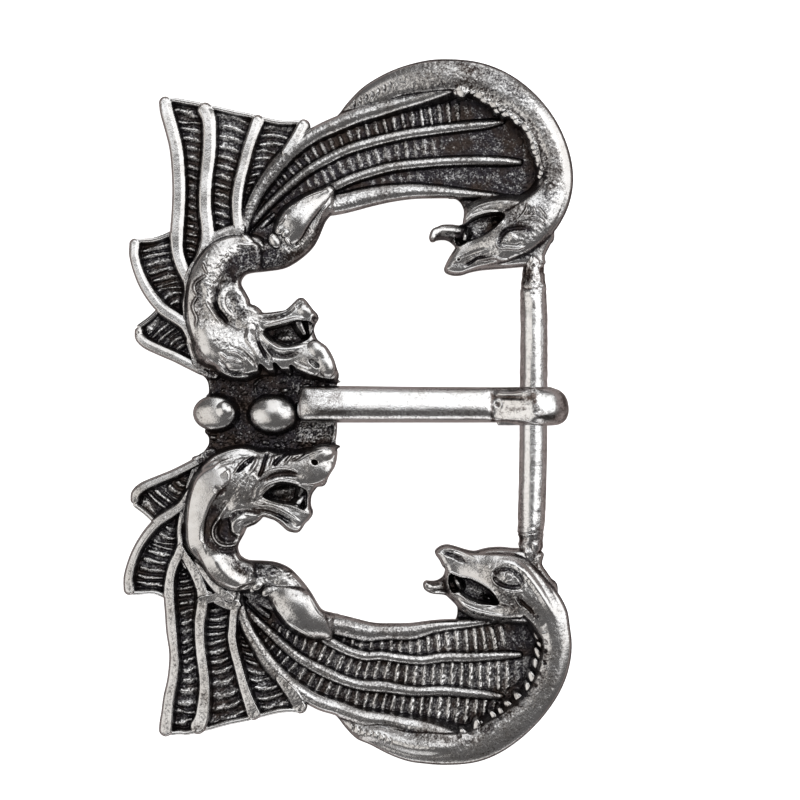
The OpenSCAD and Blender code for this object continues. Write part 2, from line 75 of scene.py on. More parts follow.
# Ribs of the tail fin, the crests and the wing, and the bodies
FIN_A = [
    (-25.75, 43.4, 0.9, 3.1), (-25.5, 42.0, 0.95, 3.3), (-24.8, 39.5, 0.95, 3.4), (-24.2, 37.0, 0.95, 3.5),
    (-23.9, 34.0, 0.95, 3.5), (-23.8, 31.0, 0.95, 3.5), (-23.9, 28.0, 0.95, 3.5), (-24.1, 25.0, 0.95, 3.6),
    (-24.0, 22.6, 0.85, 3.6), (-23.4, 20.5, 0.85, 3.7), (-22.6, 18.8, 0.8, 3.8), (-22.4, 17.2, 0.6, 3.8),
    (-22.75, 15.5, 0.5, 3.8), (-22.7, 13.8, 0.5, 3.8), (-22.3, 12.3, 0.5, 3.9),
]
FIN_B = [
    (-20.15, 42.4, 1.05, 3.2), (-19.6, 41.0, 1.0, 3.4), (-19.5, 38.5, 0.95, 3.5), (-19.6, 36.0, 0.95, 3.5),
    (-19.9, 33.5, 0.9, 3.5), (-20.1, 31.0, 0.9, 3.6), (-20.1, 28.5, 0.9, 3.6), (-19.8, 26.0, 0.9, 3.7),
    (-19.8, 24.0, 0.95, 3.8), (-20.6, 21.6, 0.85, 3.9), (-21.7, 19.5, 0.8, 3.9), (-22.5, 17.9, 0.6, 3.9),
]
FIN_C = [
    (-12.75, 40.8, 0.9, 3.2), (-13.3, 39.4, 0.8, 3.4), (-14.0, 37.3, 0.75, 3.5), (-14.6, 35.0, 0.75, 3.5),
    (-15.2, 32.7, 0.75, 3.6), (-15.6, 30.3, 0.75, 3.6), (-15.65, 28.0, 0.7, 3.6), (-15.4, 26.0, 0.75, 3.7),
    (-15.2, 24.3, 0.8, 3.8),
]
FIN_D = [(-6.3, 40.2, 0.9, 3.1), (-7.3, 38.4, 0.85, 3.4), (-8.8, 36.4, 0.6, 3.5)]
FIN_ROOT = [(-20.0, 24.0, 0.7, 3.7), (-18.4, 24.7, 0.7, 3.7), (-16.8, 25.3, 0.7, 3.7),
            (-15.3, 25.6, 0.8, 3.8)]
CREST_A = [
    (-30.05, 23.6, 0.75, 3.1), (-30.1, 22.0, 0.7, 3.3), (-29.6, 20.0, 0.7, 3.4), (-28.7, 17.9, 0.75, 3.5),
    (-27.4, 15.9, 0.8, 3.6), (-25.9, 14.3, 0.8, 3.7), (-24.2, 13.2, 0.8, 3.8), (-22.9, 12.2, 0.75, 3.9),
    (-22.2, 10.8, 0.65, 4.0), (-21.5, 9.2, 0.55, 4.1),
]
CREST_B = [
    (-29.5, 11.3, 0.55, 3.0), (-29.3, 10.4, 0.65, 3.2), (-28.3, 9.5, 0.7, 3.3), (-26.4, 8.6, 0.7, 3.4),
    (-24.3, 7.7, 0.7, 3.5), (-22.3, 6.7, 0.7, 3.6), (-20.4, 5.8, 0.7, 3.7), (-18.8, 5.3, 0.6, 3.7),
]
WING_A = [
    (-15.2, 24.6, 0.9, 3.9), (-14.4, 27.0, 0.75, 3.8), (-13.6, 29.0, 0.75, 3.8), (-12.6, 31.0, 0.8, 3.8),
    (-11.1, 33.2, 0.95, 3.8), (-9.3, 35.4, 1.0, 3.8), (-7.2, 37.4, 1.0, 3.8), (-4.6, 39.1, 1.0, 3.8),
    (-2.0, 40.3, 1.05, 3.9), (1.0, 41.5, 1.0, 4.0), (4.0, 42.4, 1.0, 4.1), (7.0, 43.3, 0.95, 4.2),
    (10.0, 44.1, 0.9, 4.6), (13.0, 45.0, 0.8, 5.2), (16.0, 45.9, 0.6, 5.6),
]
WING_B = [
    (-14.0, 26.0, 0.4, 3.0), (-12.6, 27.6, 0.45, 3.1), (-11.2, 29.1, 0.5, 3.1), (-9.0, 31.2, 0.55, 3.2),
    (-6.0, 33.7, 0.6, 3.3), (-3.0, 35.5, 0.65, 3.3), (0.0, 36.9, 0.65, 3.4), (4.0, 38.1, 0.65, 3.4),
    (8.0, 39.0, 0.65, 3.4), (12.0, 39.6, 0.65, 3.3), (16.0, 40.1, 0.65, 3.2), (19.0, 40.4, 0.6, 3.1),
    (21.5, 40.8, 0.4, 2.7),
]
WING_C_ROOT = [(-13.3, 25.0, 0.4, 3.0), (-11.8, 26.4, 0.4, 2.9), (-10.5, 27.6, 0.35, 2.7)]
WING_C = [
    (-2.8, 31.2, 0.6, 3.5), (0.0, 32.6, 0.6, 3.4), (3.0, 33.6, 0.6, 3.4), (6.0, 34.4, 0.6, 3.4),
    (10.0, 34.9, 0.6, 3.3), (14.0, 35.2, 0.6, 3.2), (18.0, 35.3, 0.6, 3.2), (22.0, 35.2, 0.55, 3.1),
    (24.0, 35.1, 0.4, 2.7),
]
WING_D = [
    (-5.0, 28.9, 1.2, 4.5), (-3.4, 28.9, 1.3, 4.3), (-1.9, 29.1, 1.35, 4.0), (0.0, 29.5, 1.35, 3.7),
    (3.0, 30.25, 1.3, 3.5), (6.0, 30.75, 1.15, 3.5), (9.0, 31.0, 1.0, 3.5), (12.0, 30.95, 0.85, 3.45),
    (15.0, 30.75, 0.65, 3.4), (17.5, 30.55, 0.5, 3.3), (20.0, 30.3, 0.45, 3.2), (22.5, 29.9, 0.4, 3.0),
]
SERPENT = [
    (-1.3, 41.5, 0.3, 2.2), (0.6, 42.9, 1.0, 2.9), (3.2, 44.4, 1.75, 3.5), (7.0, 46.1, 2.05, 4.4),
    (11.0, 46.9, 2.35, 5.3), (14.2, 47.1, 2.3, 5.8), (17.55, 46.85, 2.2, 5.9), (20.5, 45.75, 2.3, 6.0),
    (23.3, 44.05, 2.22, 6.1), (25.85, 41.88, 1.95, 6.2), (27.73, 39.02, 1.97, 6.3), (28.9, 35.68, 2.1, 6.4),
    (29.3, 32.5, 2.13, 6.5), (28.7, 29.55, 2.2, 6.6), (27.4, 27.0, 2.2, 6.7), (26.2, 25.0, 1.8, 6.4),
]
SERPENT_SKULL = [
    (14.5, 20.6, 1.1, 4.2), (15.4, 21.1, 1.7, 4.8), (17.0, 21.9, 2.0, 5.5), (19.0, 22.6, 2.35, 6.2),
    (21.2, 23.6, 2.9, 6.9), (23.5, 25.1, 3.5, 7.2), (25.8, 27.0, 3.2, 7.1), (27.7, 29.3, 2.4, 6.8),
    (28.6, 31.4, 1.8, 6.2),
]
SERPENT_JAW = [
    (16.4, 26.8, 0.45, 4.2), (17.0, 27.5, 0.55, 4.6), (18.3, 28.3, 0.65, 5.0), (20.0, 28.8, 0.8, 5.4),
    (22.0, 28.8, 1.0, 5.9), (24.6, 28.0, 1.6, 6.6),
]
DRAGON_SKULL = [
    (-16.2, 8.4, 3.3, 6.3), (-13.5, 8.4, 3.4, 6.4), (-11.0, 7.8, 2.3, 6.1), (-9.0, 7.6, 1.8, 5.8),
    (-7.0, 7.7, 1.95, 5.9), (-5.0, 7.4, 2.35, 6.1), (-3.4, 6.9, 2.1, 5.8), (-2.6, 6.2, 1.6, 5.2),
]

# Outlines, x and y. Those named for the upper or lower half hold true places of that half, unmoved.
INNER_EDGE = [
    (14.6, 45.0), (16.3, 44.9), (18.4, 44.4), (20.6, 42.9), (22.8, 41.6), (24.9, 40.0), (25.8, 38.5),
    (26.3, 36.7), (27.0, 34.7), (27.2, 32.8), (27.0, 31.0), (26.3, 29.3),
]
UPPER_SERPENT_EDGE = [
    (14.0, 30.1), (15.0, 30.0), (15.7, 29.5), (16.15, 28.6), (16.2, 27.8), (16.1, 27.1), (15.95, 26.35),
    (15.3, 26.25), (14.5, 26.35), (13.2, 26.3), (12.5, 26.0), (11.8, 25.7), (11.4, 25.1), (11.3, 24.5),
    (11.5, 24.0), (11.9, 23.9), (12.3, 24.1), (12.8, 24.2), (13.5, 24.2), (14.1, 24.0), (14.6, 23.6),
    (14.95, 23.1), (14.5, 22.3), (14.0, 21.5), (13.6, 20.7), (13.4, 20.1), (13.6, 19.6), (14.2, 19.3),
    (15.0, 19.15), (16.0, 19.25), (17.0, 19.6), (18.5, 19.9), (20.0, 20.05), (22.0, 20.2), (24.4, 20.4),
    (27.4, 20.6), (27.5, 21.8), (28.2, 23.3), (28.8, 24.8), (27.5, 30.0), (20.0, 31.0), (15.0, 31.0),
]
LOWER_SERPENT_EDGE = [
    (13.6, 30.1), (14.4, 29.85), (15.1, 29.1), (15.3, 28.0), (15.1, 27.2), (14.2, 26.3), (13.4, 25.7),
    (12.0, 25.55), (11.2, 25.3), (10.6, 24.8), (10.45, 24.2), (10.8, 23.75), (11.6, 23.8), (12.4, 23.7),
    (13.2, 23.2), (13.5, 22.5), (13.5, 22.0), (13.1, 21.5), (12.7, 20.7), (12.15, 19.9), (12.2, 19.4),
    (13.0, 18.8), (14.0, 18.65), (15.2, 18.95), (16.5, 19.35), (17.7, 19.55), (18.9, 19.25),
    (20.0, 19.05), (21.5, 19.0), (23.0, 19.15), (24.2, 19.2), (27.2, 19.6), (27.1, 21.2), (27.8, 22.4),
    (28.5, 23.4), (29.3, 24.7), (28.0, 30.0), (22.0, 31.0), (15.0, 31.0),
]
UPPER_SERPENT_HEAD = UPPER_SERPENT_EDGE[24:38] + [
    (29.2, 25.2), (29.0, 28.6), (26.0, 29.8), (22.0, 29.9), (19.0, 29.6), (17.2, 28.9), (16.2, 27.8),
    (16.05, 26.4), (15.0, 24.0), (14.9, 23.0), (14.2, 21.8),
]
LOWER_SERPENT_HEAD = LOWER_SERPENT_EDGE[16:35] + [
    (29.6, 25.2), (29.6, 28.6), (26.5, 29.6), (22.6, 29.4), (19.3, 28.9), (17.2, 28.3), (15.9, 27.4),
    (15.0, 26.4), (14.0, 25.4), (13.6, 23.6),
]
UPPER_DRAGON_EDGE = [
    (-1.5, 28.1), (-2.4, 27.8), (-3.2, 26.9), (-3.7, 25.8), (-4.2, 24.6), (-5.0, 23.2), (-6.3, 21.9),
    (-8.0, 20.7), (-9.5, 20.1), (-12.0, 19.75), (-13.5, 19.6), (-14.5, 19.3), (-15.05, 18.6),
    (-15.1, 17.9), (-14.6, 17.0), (-14.0, 15.9), (-13.8, 15.2), (-13.0, 14.9), (-12.4, 14.4),
    (-12.0, 13.95), (-11.0, 13.95), (-9.5, 14.15), (-8.8, 14.3), (-8.0, 15.0), (-7.2, 15.8),
    (-6.7, 16.0), (-6.2, 15.9), (-5.6, 15.2), (-5.0, 14.4), (-4.5, 13.9), (-4.25, 13.3), (-4.35, 12.9),
    (-4.7, 12.3), (-4.9, 11.6), (-4.75, 10.9), (-4.4, 10.2), (-3.9, 9.8), (-3.2, 9.3), (-2.5, 8.3),
    (-2.0, 7.2), (-1.7, 6.2), (-1.4, 5.3), (-1.5, 4.6), (-2.0, 4.0), (-12.0, 3.0), (-21.0, 7.0),
    (-22.5, 10.0), (-22.5, 18.0), (-16.0, 25.0), (-6.0, 31.0), (-1.5, 31.0),
]
LOWER_DRAGON_EDGE = [
    (-1.2, 28.7), (-2.5, 28.4), (-3.3, 28.05), (-3.85, 27.75), (-4.5, 26.8), (-5.25, 25.5), (-6.2, 24.2),
    (-7.15, 23.1), (-8.1, 22.15), (-9.25, 21.5), (-10.5, 21.1), (-12.0, 20.95), (-14.0, 20.85),
    (-15.0, 20.4), (-15.4, 19.9), (-15.6, 19.1), (-15.4, 18.4), (-14.9, 17.5), (-14.6, 16.9),
    (-14.3, 16.3), (-13.7, 16.0), (-13.0, 15.7), (-12.4, 15.2), (-11.9, 14.7), (-11.0, 14.95),
    (-10.3, 15.2), (-9.5, 15.8), (-8.6, 16.6), (-7.9, 16.85), (-7.2, 16.9), (-6.7, 16.6), (-6.1, 15.7),
    (-5.5, 15.1), (-5.1, 14.5), (-5.05, 13.9), (-5.3, 13.2), (-5.3, 12.2), (-5.1, 11.5), (-4.6, 10.8),
    (-4.3, 10.5), (-3.6, 10.4), (-3.2, 10.1), (-2.9, 9.3), (-2.5, 8.6), (-2.0, 7.8), (-1.75, 7.0),
    (-1.6, 6.0), (-1.65, 5.3), (-2.0, 4.5), (-12.0, 3.0), (-20.5, 6.5), (-22.5, 10.0), (-23.0, 18.0),
    (-16.0, 26.0), (-6.0, 31.5), (-1.2, 31.5),
]
UPPER_HEAD = [(-15.0, 18.6)] + UPPER_DRAGON_EDGE[13:41] + [
    (-1.5, 5.2), (-1.9, 4.6), (-3.0, 4.55), (-4.2, 4.9), (-5.4, 5.4), (-6.2, 5.55), (-7.0, 6.1),
    (-8.3, 5.6), (-9.2, 6.2), (-10.4, 5.5), (-11.3, 6.0), (-12.6, 5.4), (-13.6, 5.0), (-14.4, 4.7),
    (-16.1, 4.75), (-17.6, 5.25), (-18.8, 6.1), (-20.2, 7.3), (-21.0, 8.8), (-21.4, 10.5), (-21.4, 12.2),
    (-21.2, 13.1), (-21.8, 14.3), (-21.7, 15.1), (-21.0, 16.2), (-21.6, 17.1), (-21.4, 17.95),
    (-20.4, 18.7), (-19.6, 19.4), (-20.2, 20.8), (-19.8, 22.2), (-18.4, 23.3), (-16.5, 23.9),
    (-14.5, 24.0), (-12.5, 23.5), (-12.0, 21.5), (-12.6, 19.8), (-13.8, 19.6), (-14.6, 19.3),
]
UPPER_BELLY = [(-1.9, 28.3)] + UPPER_DRAGON_EDGE[1:11] + [
    (-14.6, 20.5), (-14.5, 23.5), (-12.5, 24.0), (-11.1, 24.3), (-10.8, 24.8), (-10.0, 25.4),
    (-9.8, 26.0), (-9.2, 26.7), (-8.6, 28.0), (-8.0, 28.9), (-6.6, 29.7), (-4.6, 30.7), (-2.5, 31.5),
    (-1.8, 30.0),
]
LOWER_HEAD = LOWER_DRAGON_EDGE[15:48] + [
    (-2.2, 4.9), (-3.2, 5.1), (-4.2, 5.3), (-5.6, 5.7), (-7.0, 6.0), (-8.2, 5.5), (-9.4, 5.7),
    (-10.4, 5.6), (-11.2, 5.4), (-12.4, 5.5), (-13.6, 5.1), (-15.0, 4.95), (-16.5, 5.2), (-17.9, 5.7),
    (-19.2, 6.4), (-20.3, 7.5), (-21.2, 8.8), (-21.8, 10.2), (-22.1, 11.8), (-22.3, 13.2), (-22.6, 14.7),
    (-22.4, 16.0), (-22.6, 17.2), (-22.5, 18.4), (-21.8, 19.4), (-20.9, 20.2), (-20.4, 21.6),
    (-19.2, 23.4), (-17.6, 24.6), (-15.8, 25.1), (-13.6, 24.6), (-12.8, 23.0), (-13.4, 21.2),
    (-15.0, 20.4),
]
LOWER_BELLY = [
    (-1.9, 28.8), (-2.5, 28.4), (-3.3, 28.05), (-3.7, 27.6), (-4.3, 26.6), (-5.0, 25.3), (-6.0, 24.0),
    (-7.0, 22.9), (-8.0, 22.0), (-9.2, 21.4), (-10.5, 21.05), (-12.0, 20.95), (-14.0, 20.85),
    (-15.0, 20.8), (-15.4, 22.6), (-15.0, 24.8), (-13.0, 25.4), (-11.6, 25.8), (-10.6, 26.6),
    (-10.0, 27.9), (-8.6, 29.8), (-6.4, 31.0), (-3.4, 31.9), (-2.0, 31.0),
]
UPPER_PLATE_EDGE = [
    (-1.7, -1.0), (-1.7, 2.0), (-1.75, 3.4), (-1.6, 4.6), (-3.0, 6.0), (-12.0, 8.0), (-19.0, 7.5),
    (-21.5, 6.2), (-20.9, 5.4), (-20.25, 4.9), (-19.8, 4.2), (-19.65, 3.4), (-19.7, 2.6), (-20.0, 2.0),
    (-19.5, -1.0),
]
LOWER_PLATE_EDGE = [
    (-1.7, -1.0), (-1.65, 1.5), (-1.7, 3.0), (-1.85, 4.3), (-1.7, 5.4), (-3.0, 7.0), (-12.0, 8.0),
    (-19.0, 8.5), (-22.0, 6.6), (-20.7, 5.9), (-20.0, 5.1), (-19.65, 4.4), (-19.7, 3.5), (-20.2, 2.8),
    (-20.0, 2.0), (-19.5, -1.0),
]
BODY_FOOT = [
    (-1.0, 30.0), (-1.0, 28.0), (-2.4, 27.4), (-3.4, 26.4), (-4.1, 24.5), (-5.2, 22.8), (-7.2, 21.1),
    (-9.5, 20.1), (-12.0, 19.75), (-14.6, 19.5), (-15.05, 18.3), (-14.2, 15.8), (-12.6, 14.5), (-11.8, 13.9),
    (-17.0, 12.0), (-19.0, 20.0), (-14.0, 24.0), (-6.0, 29.0),
]
NECK_WEB = [
    (-22.4, 18.4), (-22.8, 15.0), (-22.5, 12.0), (-22.4, 9.5), (-21.8, 6.8), (-19.5, 5.4), (-12.0, 6.0),
    (-14.0, 13.0), (-16.5, 14.5), (-17.0, 18.0), (-14.5, 21.5), (-11.5, 23.5), (-11.8, 26.5),
    (-14.0, 28.0), (-16.2, 27.0), (-19.8, 24.2), (-21.0, 21.0),
]
NECK_SLOT = [
    (-21.8, 20.6), (-22.6, 18.6), (-22.6, 15.0), (-22.4, 12.0), (-22.3, 9.5), (-21.4, 6.8), (-19.0, 6.0),
    (-17.0, 12.0), (-18.0, 19.6), (-19.6, 21.6),
]
JAW_WEB = [
    (24.5, 31.0), (15.0, 31.2), (15.0, 30.0), (15.8, 29.4), (16.25, 28.4), (16.1, 26.3), (14.6, 26.35),
    (14.7, 23.7), (15.1, 23.0), (22.0, 24.0),
]


def lerp(a, b, t):
    return a + (b - a) * t


def smoothstep(t):
    t = np.clip(t, 0.0, 1.0)
    return t * t * (3 - 2 * t)


def bell(t):
    """A smooth bump: 1 in the middle, 0 from t = 1 outwards."""
    return np.clip(1 - t * t, 0, None) ** 2


def smooth_max(a, b, r):
    return np.maximum(a, b) + np.clip(r - np.abs(a - b), 0, None) ** 2 / (4 * r)


def inner_curve(rows, steps):
    """Catmull-Rom curve from the second row of a table up to the last but one, all columns at once."""
    q = np.asarray(rows, float)
    t = np.linspace(0, 1, steps, endpoint=False)[:, None]
    return np.vstack([
        0.5 * (2 * b + (c - a) * t + (2 * a - 5 * b + 4 * c - d) * t**2 + (3 * b - a - 3 * c + d) * t**3)
        for a, b, c, d in zip(q, q[1:], q[2:], q[3:])
    ])


def spline(rows, steps=6):
    """Smooth curve through all rows of a table."""
    p = np.asarray(rows, float)
    return np.vstack([inner_curve(np.vstack([p[:1], p, p[-1:]]), steps), p[-1:]])


def closed_spline(points, steps):
    """Smooth outline through the points, closed by a straight step from the last to the first."""
    return spline([points[-1]] + points + points[:2], steps)[steps : -2 * steps]


def arc_lengths(line):
    """Length of a line in the plane up to each of its points."""
    return np.concatenate([[0], np.cumsum(np.hypot(*np.diff(line[:, :2], axis=0).T))])


def follow(line, x, y):
    """For points near a line: distance, side, arc length there, and the line's other columns there."""
    best = np.full(x.shape, 1e9)
    side = np.zeros(x.shape)
    pos = np.zeros(x.shape)
    arc = 0.0
    arcs = [0.0]
    for a, b in zip(line, line[1:]):
        dx, dy = b[0] - a[0], b[1] - a[1]
        length = max(math.hypot(dx, dy), 1e-9)
        t = np.clip(((x - a[0]) * dx + (y - a[1]) * dy) / length**2, 0, 1)
        ex, ey = x - a[0] - t * dx, y - a[1] - t * dy
        d2 = ex * ex + ey * ey
        m = d2 < best
        best = np.where(m, d2, best)
        side = np.where(m, dx * ey - dy * ex, side)
        pos = np.where(m, arc + t * length, pos)
        arc += length
        arcs.append(arc)
    columns = [np.interp(pos, arcs, line[:, c]) for c in range(2, line.shape[1])]
    return np.sqrt(best), np.sign(side), pos, columns


def inside_distance(poly, x, y):
    """Signed distance to a closed outline, positive inside."""
    best = np.full(x.shape, 1e9)
    crossings = np.zeros(x.shape, bool)
    p = np.asarray(poly, float)
    for a, b in zip(p, np.roll(p, -1, axis=0)):
        dx, dy = b - a
        t = np.clip(((x - a[0]) * dx + (y - a[1]) * dy) / max(dx * dx + dy * dy, 1e-12), 0, 1)
        best = np.minimum(best, (x - a[0] - t * dx) ** 2 + (y - a[1] - t * dy) ** 2)
        hit = (a[1] > y) != (b[1] > y)
        with np.errstate(divide="ignore", invalid="ignore"):
            crossings ^= hit & (x < dx * (y - a[1]) / (dy if dy else 1e-12) + a[0])
    d = np.sqrt(best)
    return np.where(crossings, d, -d)


def between(at, i, j, s, t):
    """Value inside a cell of a grid: at(i, j) is the one at its corner, s and t run from 0 to 1."""
    return lerp(lerp(at(i, j), at(i + 1, j), s), lerp(at(i, j + 1), at(i + 1, j + 1), s), t)


def value_noise(x, y, size, seed):
    """Smooth random field between -1 and 1 with features of the given size."""
    rng = np.random.default_rng(seed)
    table = rng.uniform(-1, 1, (256, 256))
    u, v = x / size + 1000.0, y / size + 1000.0
    i, j = np.floor(u).astype(int), np.floor(v).astype(int)
    s, t = smoothstep(u - i), smoothstep(v - j)
    return between(lambda a, b: table[a % 256, b % 256], i, j, s, t)


def carved_shift(x, y):
    """How far the lower half is moved at a place of the upper half."""
    c = np.asarray(CARVED)
    w = 1 / (0.5 + (x[..., None] - c[:, 0]) ** 2 + (y[..., None] - c[:, 1]) ** 2) ** 2
    w /= w.sum(-1, keepdims=True)
    return (w * c[:, 2]).sum(-1), (w * c[:, 3]).sum(-1)


def upper_places(x, y):
    """The places of the upper half that carving moves to the given places of the lower half."""
    step = 0.5
    cx, cy = np.arange(-33.0, 33.0, step), np.arange(-2.0, 51.0, step)
    CX, CY = np.meshgrid(cx, cy, indexing="ij")
    ux, uy = CX, CY
    for _ in range(12):
        sx, sy = carved_shift(ux, uy)
        ux, uy = CX - sx, CY - sy
    u, v = (x - cx[0]) / step, (y - cy[0]) / step
    i = np.clip(np.floor(u).astype(int), 0, len(cx) - 2)
    j = np.clip(np.floor(v).astype(int), 0, len(cy) - 2)
    return (between(lambda a, b: A[a, b], i, j, u - i, v - j) for A in (ux, uy))


# Heights across a body or rib. Its middle line is at the height z and its half width is w, t is the
# distance from that line as a share of w, and the side is 1 on the left, seen along it, or -1.
def body_shape(t, side, z, w):
    """Broad crown of a body, from the middle line (0) to the edge (1), that rolls off near the edge."""
    crown = lerp(0.6, 0.3, np.clip((w - 0.5) / 1.5, 0, 1))
    roll = np.clip((t - 0.84) / 0.16, 0, 1)
    return z - w * (crown * np.minimum(t, 1) ** 2.6 + 0.35 * roll**2 + 4.0 * np.clip(t - 1, 0, None))


def rib_shape(t, side, z, w):
    """Flat top of an upper rib with a wide bevel on its left and a narrow one on its right."""
    flat = np.where(side > 0, 0.3, 0.68)
    fall = np.clip((t - flat) / (1 - flat), 0, 1)
    return z - w * (np.where(side > 0, 0.3, 0.22) * fall**1.3 + 4.0 * np.clip(t - 1, 0, None))


def tilted_rib_shape(t, side, z, w):
    """Flat top of a lower rib that rises towards its left, with narrow bevels."""
    roll = np.clip((t - 0.78) / 0.22, 0, 1)
    return z + w * (0.2 * side * np.minimum(t, 1) - 0.2 * roll**2 - 4.0 * np.clip(t - 1, 0, None))


def vein_shape(t, side, z, w):
    """Low round back of a thin wing rib."""
    return z - 0.4 - w * (0.5 * t**2 + 1.5 * np.clip(t - 1, 0, None))


class Field:
    """Places x, y in the plan, their height h, how far inside the outline they lie, s, and t: tarnish and
    painted shade, below 0 polish and painted highlights.
    """

    def __init__(self, x, y):
        self.x, self.y = x, y
        self.h = np.full(x.shape, BASE)
        self.s = np.full(x.shape, OUTSIDE)
        self.t = np.zeros(x.shape)

    def seen_from(self, x, y):
        """The same heights under other coordinates."""
        other = Field.__new__(Field)
        other.x, other.y, other.h, other.s, other.t = x, y, self.h, self.s, self.t
        return other

    def near(self, line, margin):
        """Numbers of the places in the box round a line, with a margin."""
        lo, hi = line[:, :2].min(0) - margin, line[:, :2].max(0) + margin
        return np.nonzero((self.x > lo[0]) & (self.x < hi[0]) & (self.y > lo[1]) & (self.y < hi[1]))[0]

    def sweep(self, rows, shape, blend=0.1, outline=True, steps=6, tone=0.0):
        """Adds a section that follows a table of x, y, half width and height, with its own tone: tarnish,
        below 0 polish that also paints a highlight.
        """
        line = spline(rows, steps)
        i = self.near(line, line[:, 2].max() + 0.8)
        d, side, pos, (w, z) = follow(line, self.x[i], self.y[i])
        w = np.maximum(w, 0.05)
        self.h[i] = smooth_max(self.h[i], shape(d / w, side, z, w), blend)
        self.t[i] = lerp(tone, self.t[i], smoothstep((d / w - 0.8) / 0.35))
        if outline:
            self.s[i] = np.maximum(self.s[i], w - d)

    def body(self, rows, blend):
        """A round body on top of what is there, which leaves the outline as it is."""
        self.sweep(rows, body_shape, blend, outline=False)

    def outline(self, points, steps=4):
        """The silhouette takes in a smooth closed outline."""
        p = closed_spline(points, steps)
        i = self.near(p, 1.0)
        self.s[i] = np.maximum(self.s[i], inside_distance(p, self.x[i], self.y[i]))

    def slab(self, poly, z, outline=True):
        """Fills an outline with straight sides up to the height z."""
        p = np.asarray(poly, float)
        i = self.near(p, 0.8)
        d = inside_distance(p, self.x[i], self.y[i])
        self.h[i] = np.maximum(self.h[i], np.where(d > -0.4, z, BASE))
        if outline:
            self.s[i] = np.maximum(self.s[i], d)

    def mass(self, points, edge, top, reach, blend=0.4, steps=3):
        """A pillow: its smooth outline, height at the edge and inside, and how far in the round goes."""
        p = closed_spline(points, steps)
        i = self.near(p, 0.4)
        d = inside_distance(p, self.x[i], self.y[i])
        t = np.clip(1 - d / reach, 0, 1)
        z = edge + (top - edge) * np.sqrt(np.clip(1 - t * t, 0, 1)) - 2.5 * np.clip(-d, 0, None)
        self.h[i] = np.where(d > -0.4, smooth_max(self.h[i], z, blend), self.h[i])
        self.t[i] *= 1 - smoothstep(d / 0.3 + 0.5)

    def paint_tarnish_and_light(self, width, amount, *points):
        """Paints tarnish and shade or, with a negative amount, polish and highlights along a curve."""
        line = spline(points, 4)
        i = self.near(line, width)
        self.t[i] += amount * bell(follow(line, self.x[i], self.y[i])[0] / width)

    def dab_tarnish_and_light(self, x, y, radius, amount):
        """Paints tarnish and shade, or with a negative amount polish and highlights, round one place."""
        self.paint_tarnish_and_light(radius, amount, (x - 0.01, y), (x + 0.01, y))

    def paint_tarnish_and_light_area(self, poly, amount, soft=0.6):
        """Paints tarnish and shade inside an outline with straight sides."""
        p = np.asarray(poly, float)
        i = self.near(p, 0.0)
        self.t[i] += amount * smoothstep(inside_distance(p, self.x[i], self.y[i]) / soft)

    def line(self, width, amount, *points, lean=0.0, taper=0.3):
        """Raises or, with a negative amount, cuts along a curve. Lean widens its left side."""
        line = spline(points, 5)
        i = self.near(line, width * (1 + abs(lean)))
        d, side, pos, _ = follow(line, self.x[i], self.y[i])
        length = np.hypot(*np.diff(line, axis=0).T).sum()
        end = smoothstep(np.minimum(pos, length - pos) / max(taper * length, 1e-6) + 0.15)
        w = width * (1 + lean * side) * (0.6 + 0.4 * end)
        self.h[i] += amount * (0.6 if amount < 0 else 0.8) * end * bell(d / w)

    def oval(self, x, y, rx, ry, turn, reach=1.0):
        """Places near an oval: their numbers, offsets from its middle, and distance, where 1 is its rim."""
        i = self.near(np.array([[x, y]]), reach * max(rx, ry))
        c, s = math.cos(math.radians(turn)), math.sin(math.radians(turn))
        u, v = self.x[i] - x, self.y[i] - y
        return i, u, v, np.hypot((u * c + v * s) / rx, (v * c - u * s) / ry)

    def spot(self, x, y, rx, ry, turn, amount):
        """Raises or cuts an oval: centre, half sizes, turn in degrees, amount."""
        i, _, _, t = self.oval(x, y, rx, ry, turn)
        self.h[i] += amount * bell(t)

    def ball(self, x, y, rx, ry, turn, z, blend=0.05, outline=False, flat=0.7, lean=(0.0, 0.0)):
        """A flattened ball or egg whose middle is at the height z and which may lean."""
        reach = 1.2
        i, u, v, t = self.oval(x, y, rx, ry, turn, reach)
        rise = min(rx, ry)
        cap = z - flat * rise * (1 - np.sqrt(np.clip(1 - t * t, 0, 1))) - 6.0 * np.clip(t - 1, 0, None)
        cap += lean[0] * np.clip(u, -rx, rx) + lean[1] * np.clip(v, -ry, ry)
        self.h[i] = np.where(t < reach, smooth_max(self.h[i], cap, blend), self.h[i])
        if outline:
            self.s[i] = np.maximum(self.s[i], (1 - t) * rise)

    def hollow(self, poly, floor, soft=0.3, steps=3):
        """Cuts a hollow with a flat floor inside a smooth closed outline."""
        p = closed_spline(poly, steps)
        i = self.near(p, 0.2)
        d = inside_distance(p, self.x[i], self.y[i])
        t = smoothstep(d / soft + 0.25)
        self.h[i] = np.where(d > -0.25 * soft, lerp(self.h[i], np.minimum(self.h[i], floor), t), self.h[i])

    def rough(self, poly, amount, size, seed, soft=0.8):
        """Lumpy skin inside an outline."""
        p = np.asarray(poly, float)
        i = self.near(p, 0.0)
        x, y = self.x[i], self.y[i]
        t = smoothstep(inside_distance(p, x, y) / soft)
        n = value_noise(x, y, size, seed) + 0.6 * value_noise(x, y, size * 0.45, seed + 1)
        self.h[i] += amount * t * n

